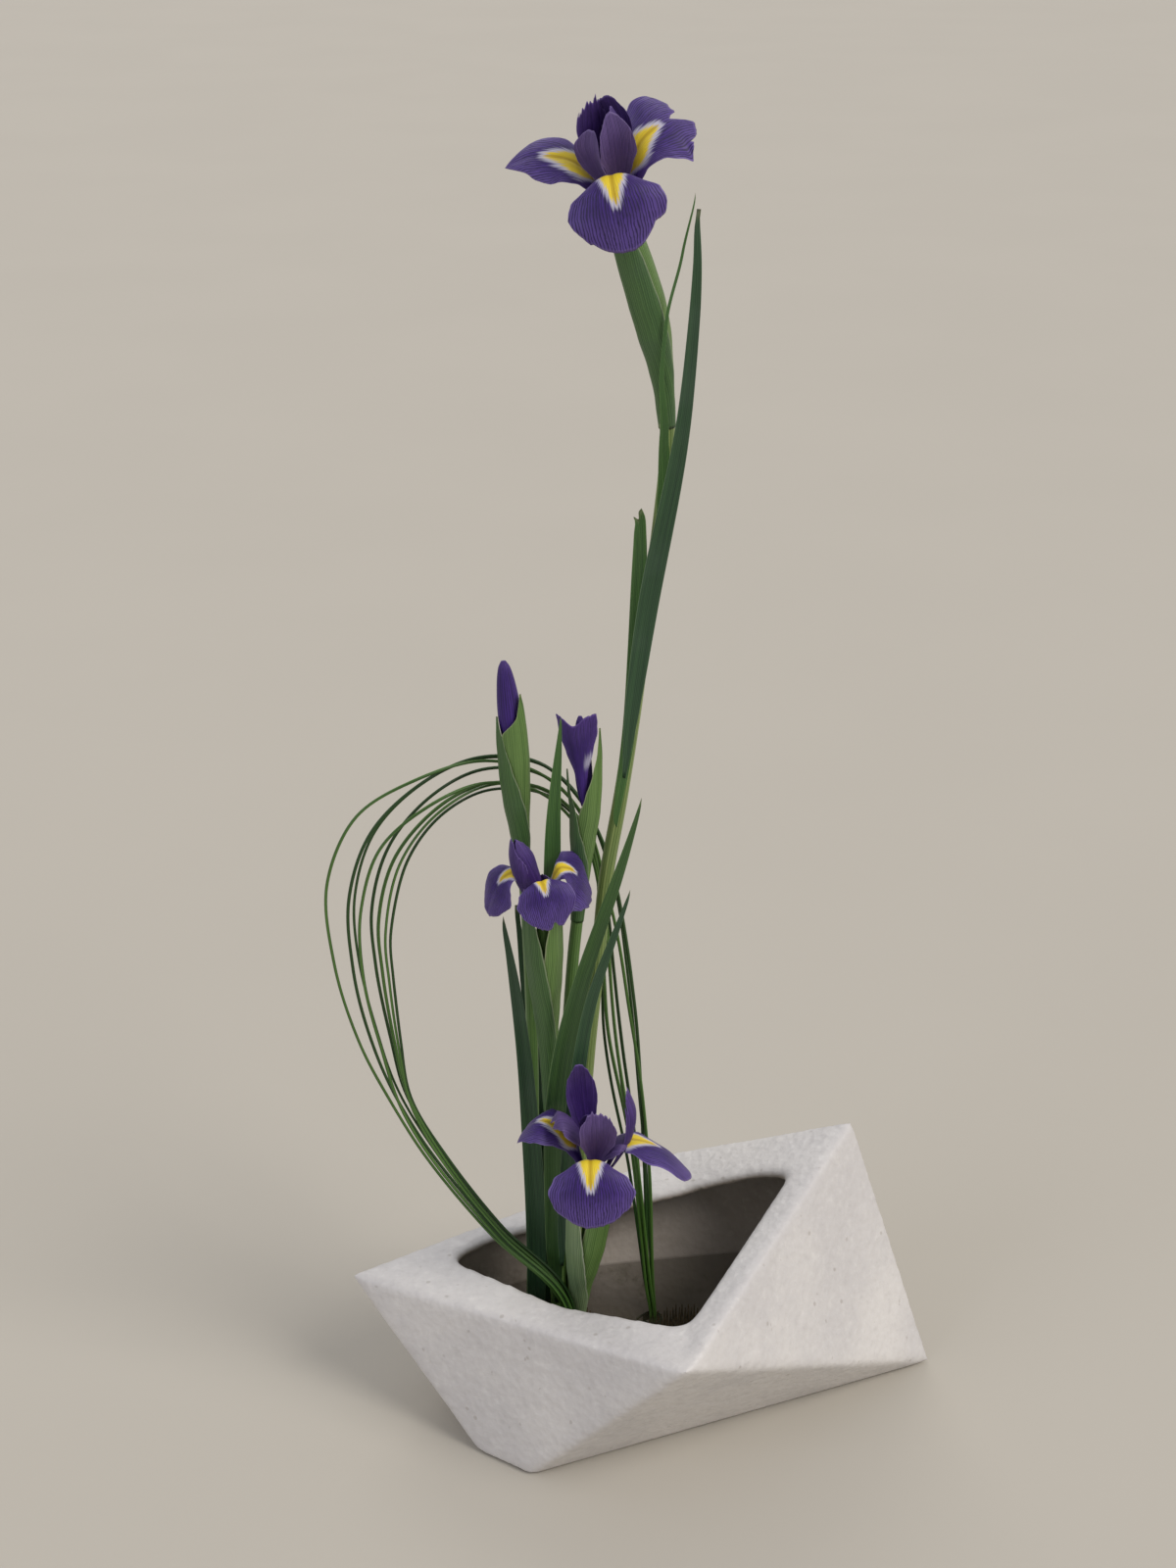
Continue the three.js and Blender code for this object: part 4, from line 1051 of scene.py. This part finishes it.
def petal_shape(
    line, widths, cup, turn=0.0, roll=0.0, size=1.0, thickness=0.55, ruffle=0.0, waves=2.0, phase=0.0,
    ragged=0.015, notch=0.0, bites=(), tip=0.28, point=2.0, groove=0.0, signal=None, mark=1.0, out=1.0,
    rise=1.0, wide=1.0, seed=0, rows=60, columns=45,
):
    """A petal that grows from the flower's axis, in millimetres. out, rise and wide stretch its outline.
    tip is the share of its length that its end is rounded over, point how round that end is, ragged how
    torn its rim is, notch how deep it is split, bites the (place, width, depth) of gaps in its end, signal
    where its yellow mark starts, as a share of its length, and mark how much wider than usual that is."""
    path = smooth_path([[far * out * size, 0, up * rise * size] for far, up in line], PATH_STEPS)
    length = np.linalg.norm(np.diff(path, axis=0), axis=1).sum()
    tangent = unit(np.gradient(path, axis=0))
    side = np.sin(np.linspace(-1, 1, columns)[None] * math.pi / 2)
    reach = np.abs(side)
    end = 1 - tip * (1 - np.maximum(1 - reach**point, 0) ** (1 / point))
    end = end - ragged * (wander(side * 5.5, seed) + 0.6 * wander(side * 17, seed + 3)) * (0.4 + reach)
    for where, breadth, depth in [(0, 0.16, notch), *bites]:
        end = end - depth * np.exp(-(((side - where) / breadth) ** 2))
    t = np.linspace(0, 1, rows)[:, None] * end
    place, steps = np.clip(t, 0, 1) * (PATH_STEPS - 1), np.arange(PATH_STEPS)
    at = np.stack([np.interp(place, steps, path[:, k]) for k in range(3)], -1)
    along = unit(np.stack([np.interp(place, steps, tangent[:, k]) for k in range(3)], -1))
    over = np.maximum(t - 1, 0)[..., None] * length
    at = at + along * over
    twist = math.radians(roll) * smoothstep(0.35, 0.75, t)
    up = unit(np.stack([-along[..., 2], np.zeros_like(t), along[..., 0]], -1))
    level = np.broadcast_to(np.array([0.0, 1.0, 0.0]), up.shape)
    cos, sin = np.cos(twist)[..., None], np.sin(twist)[..., None]
    up, across = up * cos - level * sin, level * cos + up * sin
    rim = 1 + 0.03 * wander(t * 9 + np.sign(side) * 4, seed + 8)
    half = profile(widths, t) / 2 * size * wide * rim
    bend = cup * reach
    blade = smoothstep(0.45, 0.75, t)
    beat = np.sin(2 * math.pi * (waves * t + 0.37 * (side > 0)) + phase)
    swing = ruffle * half * reach**2.2 * beat * blade
    pleats = 0.10 * np.sin(side * 34 + 3 * wander(t * 3, seed + 11)) * blade * reach
    furrow = groove * np.exp(-((side * half / 1.6) ** 2)) * smoothstep(0.3, 0.5, t)
    lift = half * reach * np.sin(bend) + swing + pleats - furrow
    grid = at + across * (half * side * np.cos(bend))[..., None] + up * lift[..., None]
    edge = np.minimum((1 - reach) * half, (end - t) * length)
    body = thickness * (0.25 + 0.75 * np.minimum(1, edge / (3 * size)) ** 0.7)
    body = body * np.minimum(1, 0.4 + t * 12)
    values = {"along": t / end, "side": side * np.ones_like(t), "across": half * side, "reach": t * length}
    values["signal"] = signal_mark(t, half * side, length, signal, size, mark)
    vertices, faces, attributes = thin_sheet(grid, up, body, values)
    turned = np.array(Matrix.Rotation(math.radians(turn), 3, "Z"))
    return vertices @ turned.T, faces, attributes


def signal_mark(t, across, length, start, size, wide):
    """How deep a point lies in the yellow mark: above 0 inside, below 0 outside, 1 at its middle."""
    if start is None:
        return np.full_like(t * across, UNMARKED)
    half, reach = 5.2 * size * wide, 15.0 * size
    beyond = (t - start) * length
    width = half * np.clip(1 - beyond / reach, 0, 1) ** 0.85
    width = np.where(beyond < 0, half * (0.25 + 0.7 * smoothstep(0, start, t)), width)
    inside = (width - np.abs(across)) / half - 1.3 * (1 - smoothstep(0.5 * start, 0.92 * start, t))
    outside = -np.hypot(beyond - reach, across) / half
    return np.where(beyond > reach, outside, inside)


def placed(shape, matrix):
    """A shape in millimetres, scaled to metres and put in its place."""
    vertices, faces, attributes = shape
    turn, shift = np.array(matrix.to_3x3()), np.array(matrix.translation)
    return vertices * MM @ turn.T + shift, faces, attributes


def head_place(stem, lean, gap=0.6 * MM):
    """The matrix of a flower or bud on top of its stem, with its axis tipped over by lean."""
    top = stem_line(stem, 40)[-1]
    axis = Vector((*lean, 1)).normalized()
    turn = UP.rotation_difference(axis).to_matrix().to_4x4()
    return Matrix.Translation(Vector(top) + Vector((0, 0, gap))) @ turn


class IKEBANA_OT_flowers(bpy.types.Operator):
    """Make the three open iris flowers: falls, standards and style arms"""
    bl_idname = "ikebana.flowers"
    bl_label = "Flowers"

    def execute(self, context):
        size = settings("plant")
        violet = tuple(size.violet)
        deep = tinted(violet, 0.5)
        fall = petal_finish("Fall violet", deep, violet, (0.22, 0.155, 0.42))
        standard = petal_finish("Standard violet", deep, (0.075, 0.03, 0.22), (0.17, 0.11, 0.34))
        style = petal_finish(
            "Style violet", (0.05, 0.024, 0.135), (0.10, 0.052, 0.205), (0.22, 0.155, 0.36), 0.15,
        )
        thickness = size.petal / MM
        for k, (name, made) in enumerate(FLOWERS.items()):
            size_of = dict(size=made["size"], thickness=thickness)

            def grown(look, **usual):
                look = {**size_of, **usual, **look}
                lean = look.pop("lean", made["lean"])
                return placed(petal_shape(**look), head_place(f"{name}_stem", lean))

            for j, (where, look) in enumerate(made["falls"].items()):
                shape = grown(look, widths=FALL_WIDTHS, cup=-0.25, groove=0.5, signal=0.48, seed=10 * k + j)
                make_piece(f"{name}_fall_{where}_petal", shape, fall, "petal", f"{name}_fall_{where}")
            for j, (where, look) in enumerate(made["standards"].items()):
                shape = grown(
                    look, line=STANDARD, widths=STANDARD_WIDTHS, cup=0.3, ruffle=0.08, waves=1.8,
                    phase=j * 2.1, ragged=0.03, tip=0.26, seed=50 + 10 * k + j,
                )
                node = f"{name}_standard_{where}"
                make_piece(f"{node}_petal", shape, standard, "petal", node)
            column = tube([(0, 0, z * made["size"]) for z in (-0.2, 4, 9, 14)], [2.6, 2.3, 1.9, 1.3])
            column[2]["signal"] = np.full(len(column[0]), UNMARKED)
            shapes = [placed(column, head_place(f"{name}_stem", made["lean"]))]
            for j, look in enumerate(made["arms"]):
                shapes.append(grown(
                    look, widths=STYLE_WIDTHS, cup=-0.35, ruffle=0.05, waves=2.5, phase=2.0 * j,
                    ragged=0.04, notch=0.06, tip=0.24, seed=80 + 10 * k + j,
                ))
            make_piece(f"{name}_style_arms", joined(shapes), style, "style", f"{name}_style")
        return {"FINISHED"}


# ---- Buds ----

def furled_bud(radius, height, wraps=2, flat=0.8, rows=60, columns=48):
    """A pointed spindle of petals furled round each other, in millimetres."""
    t = np.linspace(0, 1, rows)[:, None]
    angle = np.linspace(0, 2 * math.pi, columns, endpoint=False)[None]
    outline = [[0.08, 0], [0.55, 0.04], [0.92, 0.25], [1, 0.45], [0.8, 0.74], [0.52, 0.92], [0.2, 1]]
    outline = smooth_path(outline, rows)
    spiral = np.mod((angle + 2.2 * t) / (2 * math.pi) * wraps, 1)
    overlap = 1 + 0.13 * (spiral - 0.5) * smoothstep(0.05, 0.25, t)
    out = outline[:, :1] * radius * overlap
    up = outline[:, 1:] * height * np.ones_like(angle)
    vertices = np.stack([out * np.cos(angle), out * np.sin(angle) * flat, up], -1).reshape(-1, 3)
    faces, number, _ = ring_faces(rows, columns)
    faces = [*faces.tolist(), number[0, ::-1].tolist(), number[-1].tolist()]
    side = (angle / math.pi - 1) * 0.85
    values = {
        "along": t * 0.96, "side": side, "across": side * radius * math.pi, "reach": t * height,
        "signal": UNMARKED,
    }
    return vertices, faces, {key: np.broadcast_to(value, number.shape) for key, value in values.items()}


class IKEBANA_OT_buds(bpy.types.Operator):
    """Make the closed bud and the half-open bud with its unrolling petal"""
    bl_idname = "ikebana.buds"
    bl_label = "Buds"

    def execute(self, context):
        size = settings("plant")
        violet = tuple(size.violet)
        finish = petal_finish("Bud violet", tinted(violet, 0.55), violet, (0.15, 0.085, 0.32), 0.15)
        left = placed(furled_bud(5.6, 47), head_place("left_bud_stem", (-0.1, 0)))
        make_piece("left_bud_furled", left, finish, "petal", "left_bud")
        half = placed(furled_bud(4.2, 46), head_place("half_bud_stem", (-0.06, 0.02)))
        make_piece("half_bud_furled", half, finish, "petal", "half_bud")
        petal = petal_shape(
            [[3.2, 0], [4.2, 10], [5.2, 22], [6.2, 36], [7, 49]], [1.5, 3.5, 7, 14, 20, 21.5], 0.45, -98,
            thickness=size.petal / MM, ruffle=0.1, waves=1.4, tip=0.01, ragged=0.006, seed=33,
            bites=[(-0.12, 0.42, 0.1)],
        )
        pale = np.exp(-(((petal[2]["along"] - 0.52) / 0.2) ** 2)) * smoothstep(-0.3, 0.6, petal[2]["side"])
        petal[2]["signal"] = -1.4 + 1.12 * pale
        petal = placed(petal, head_place("half_bud_stem", (-0.085, 0)))
        make_piece("half_bud_opening_petal", petal, finish, "petal", "half_bud_petal")
        return {"FINISHED"}


# ---- Bent grass ----

# The loop as seen from the front, in millimetres from the flowers: x and height of its outermost blade,
# x and height of its innermost blade, and how far back it runs, from the tied end to the loose end.
LOOP = [
    [32, 60, 30, 60, 12], [30, 131, 21, 125, 20], [24, 213, 8, 195, 29], [12, 280, 6, 249, 33],
    [-6, 322, 0, 297, 35], [-25, 339, -20, 320, 36], [-52, 345, -46, 325, 32], [-82, 339, -68, 318, 19],
    [-108, 322, -86, 295, 12], [-121, 290, -94, 262, 8], [-120, 248, -93, 240, 4], [-110, 208, -89, 203, 2],
    [-97, 178, -85, 174, 0], [-76, 143, -70, 145, -4], [-46, 104, -43, 107, -9], [-14, 72, -11, 74, -16],
]
TIED_END = (33, 10)
LOOSE_END = (-4, -19)
FOOT = 21.8  # height of the cut ends, half-way down the pins
TIED_TOP = 44.3  # height that the blades stand upright to
BLADE_PITCH = 2.05  # between blades that stand side by side
SWAY = 1.6  # how far a blade wanders from the loop
BLADES = 8
PAIR_ORDER = [1, 3, 0, 2]
RIGHT_PLACES = [0.36, 0.0, 0.18, 0.55, 0.8, 0.66, 0.9, 1.0]  # each blade's place in the loop: 0 outermost
LEFT_PLACES = [0.0, 0.32, 0.42, 0.68, 0.5, 0.92, 0.8, 1.0]


def bundled(end, i, z, side, spread):
    """A blade's place in the bundle, where spread brings every blade behind the last in the loop."""
    pair = PAIR_ORDER[i // 2]
    row, layer = pair - 1.5, 2 * pair + i % 2 - 3.5
    column = side * (-0.5 if i % 2 else 0.5)
    turn = spread * math.pi / 2
    back = row + (layer - row) * math.sin(turn)
    return [end[0] + column * BLADE_PITCH * math.cos(turn), end[1] + back * BLADE_PITCH, z]


class IKEBANA_OT_grass(bpy.types.Operator):
    """Bend the blades of grass into their open loop and tie them"""
    bl_idname = "ikebana.grass"
    bl_label = "Bent grass"

    def execute(self, context):
        size = settings("plant")
        low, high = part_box("grass_tie")
        tie = (low + high) / 2
        origin = np.array([tie.x / MM - TIED_END[0], tie.y / MM - TIED_END[1], 0])
        shades = list(greens("Grass", "Grass in shade").values())
        for i in range(BLADES):
            path = self.route(i)
            line = smooth_path((np.array(path) + origin) * MM, 260)
            t = np.linspace(0, 1, len(line))
            sway = np.stack([wander(t * 7, i + 60), 0 * t, wander(t * 7, i + 70)], 1)
            line = line + sway * np.sin(math.pi * t)[:, None] * SWAY * MM
            radii = size.grass * (1.1 + 0.12 * math.sin(i * 2.3) - 0.2 * t + 0.05 * wander(t * 20, i))
            shape = tube(line, radii, sides=10, ridges=0.05, seed=i)
            name = f"grass_blade_{i + 1}"
            make_piece(f"{name}_bent", shape, shades[(i * 5 // 3) % 2], "grass", name)
        self.tie(tie, (high.x - low.x) / 2, (high.z - low.z) / 2)
        return {"FINISHED"}

    @staticmethod
    def route(i):
        points = [bundled(TIED_END, i, FOOT, 1, 0), bundled(TIED_END, i, TIED_TOP, 1, 0)]
        for k, (out_x, out_z, in_x, in_z, y) in enumerate(LOOP):
            spread = min(1, k / 3, (len(LOOP) - 1 - k) / 3)
            along = smoothstep(4.0, 8.5, k)
            inwards = RIGHT_PLACES[i] * (1 - along) + LEFT_PLACES[i] * along
            inwards = inwards * spread + i / (BLADES - 1) * (1 - spread)
            middle = (out_x + (in_x - out_x) * inwards, y)
            side = 1 if k < len(LOOP) / 2 else -1
            points.append(bundled(middle, i, out_z + (in_z - out_z) * inwards, side, spread))
        return points + [bundled(LOOSE_END, i, FOOT, -1, 0)]

    @staticmethod
    def tie(centre, radius, half_height):
        turns, steps, radius_of_cord = 5, 40, 0.55 * MM
        share = np.linspace(0, 1, turns * steps)
        angle = share * turns * 2 * math.pi + math.pi * 0.8
        reach = radius - radius_of_cord + 0.12 * MM * np.sin(angle * 3.1)
        line = np.stack([
            centre.x + reach * np.cos(angle), centre.y + reach * np.sin(angle),
            centre.z + (share * 2 - 1) * (half_height - 0.5 * MM),
        ], 1)
        heading = unit(line[-1] - line[-4])
        tail = [line[-1] + (heading * d + np.array([0, 0, -0.012 * d * d])) * MM for d in (1.5, 3.5, 6)]
        shape = tube(smooth_path(np.vstack([line[::4], tail]), 200), radius_of_cord, sides=8)
        make_piece("grass_tie_wound", shape, greens("Grass tie")["Grass tie"], "tie", "grass_tie")


# ---- Stage ----

class IKEBANA_OT_stage(bpy.types.Operator):
    """Set the camera, the soft studio lights and the pale floor"""
    bl_idname = "ikebana.stage"
    bl_label = "Stage"

    def execute(self, context):
        size = settings("stage")
        camera = bpy.data.cameras.new("Camera")
        camera.lens = size.lens
        camera.clip_end = 60
        eye = bpy.data.objects.new("Camera", camera)
        low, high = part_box("grass_tie")
        middle = (low + high) / 2 - Vector((*TIED_END, 0)) * MM
        eye.location = (middle.x, middle.y - size.distance, size.height)
        eye.rotation_euler = (math.pi / 2 - size.pitch, 0, 0)
        context.scene.collection.objects.link(eye)
        context.scene.camera = eye
        self.lamp("key", (0.9, -0.55, 1.25), 1.7, (1.0, 0.965, 0.92))
        self.lamp("fill", (-1.2, -0.9, 1.0), 0.5, (0.82, 0.86, 1.0))
        self.lamp("back", (-0.3, 1.5, 1.3), 0.5, (1.0, 0.98, 0.95))
        self.floor(size.floor)
        world = bpy.data.worlds.new("Studio")
        world.use_nodes = True
        background = world.node_tree.nodes["Background"]
        background.inputs["Color"].default_value = (0.86, 0.86, 0.88, 1)
        background.inputs["Strength"].default_value = 0.58
        context.scene.world = world
        context.scene.view_settings.view_transform = "Standard"
        return {"FINISHED"}

    @staticmethod
    def lamp(name, place, power, colour):
        """A broad soft light a long way off, so that it falls evenly."""
        light = bpy.data.lights.new(name, "SUN")
        light.energy = power
        light.angle = math.radians(30)
        light.color = colour
        lamp = bpy.data.objects.new(name, light)
        lamp.location = place
        lamp.rotation_euler = (Vector((0, 0, 0.22)) - Vector(place)).to_track_quat("-Z", "Y").to_euler()
        bpy.context.scene.collection.objects.link(lamp)

    @staticmethod
    def floor(colour):
        mesh = bpy.data.meshes.new("floor")
        reach = 30
        corners = [(-reach, -reach, 0), (reach, -reach, 0), (reach, reach, 0), (-reach, reach, 0)]
        mesh.from_pydata(corners, [], [(0, 1, 2, 3)])
        mesh.materials.append(floor_finish(colour))
        made = bpy.data.objects.new("floor", mesh)
        made.location.z = -0.0002
        bpy.context.scene.collection.objects.link(made)


# ---- The add-on ----

class IKEBANA_PT_panel(bpy.types.Panel):
    """The pieces of the arrangement"""
    bl_idname = "IKEBANA_PT_panel"
    bl_label = "Iris arrangement"
    bl_space_type = "VIEW_3D"
    bl_region_type = "UI"
    bl_category = "Ikebana"

    def draw(self, context):
        for name in SETTINGS:
            group = settings(name)
            for key in group.__annotations__:
                self.layout.prop(group, key)
        for piece in PIECES:
            self.layout.operator(piece.bl_idname)


SETTINGS = {"vase": VaseSettings, "holder": HolderSettings, "plant": PlantSettings, "stage": StageSettings}
PIECES = [  # in the order that they are made
    IKEBANA_OT_stage, IKEBANA_OT_vase, IKEBANA_OT_water, IKEBANA_OT_pin_holders, IKEBANA_OT_stems,
    IKEBANA_OT_leaves, IKEBANA_OT_sheaths, IKEBANA_OT_flowers, IKEBANA_OT_buds, IKEBANA_OT_grass,
]
CLASSES = [*SETTINGS.values(), *PIECES, IKEBANA_PT_panel]


def register():
    for kind in CLASSES:
        bpy.utils.register_class(kind)
    for name, kind in SETTINGS.items():
        setattr(bpy.types.Scene, "ikebana_" + name, PointerProperty(type=kind))


def unregister():
    for name in SETTINGS:
        delattr(bpy.types.Scene, "ikebana_" + name)
    for kind in reversed(CLASSES):
        bpy.utils.unregister_class(kind)


def main():
    register()
    for piece in PIECES:
        getattr(bpy.ops.ikebana, piece.bl_idname.split(".")[1])()


if __name__ == "__main__":
    main()
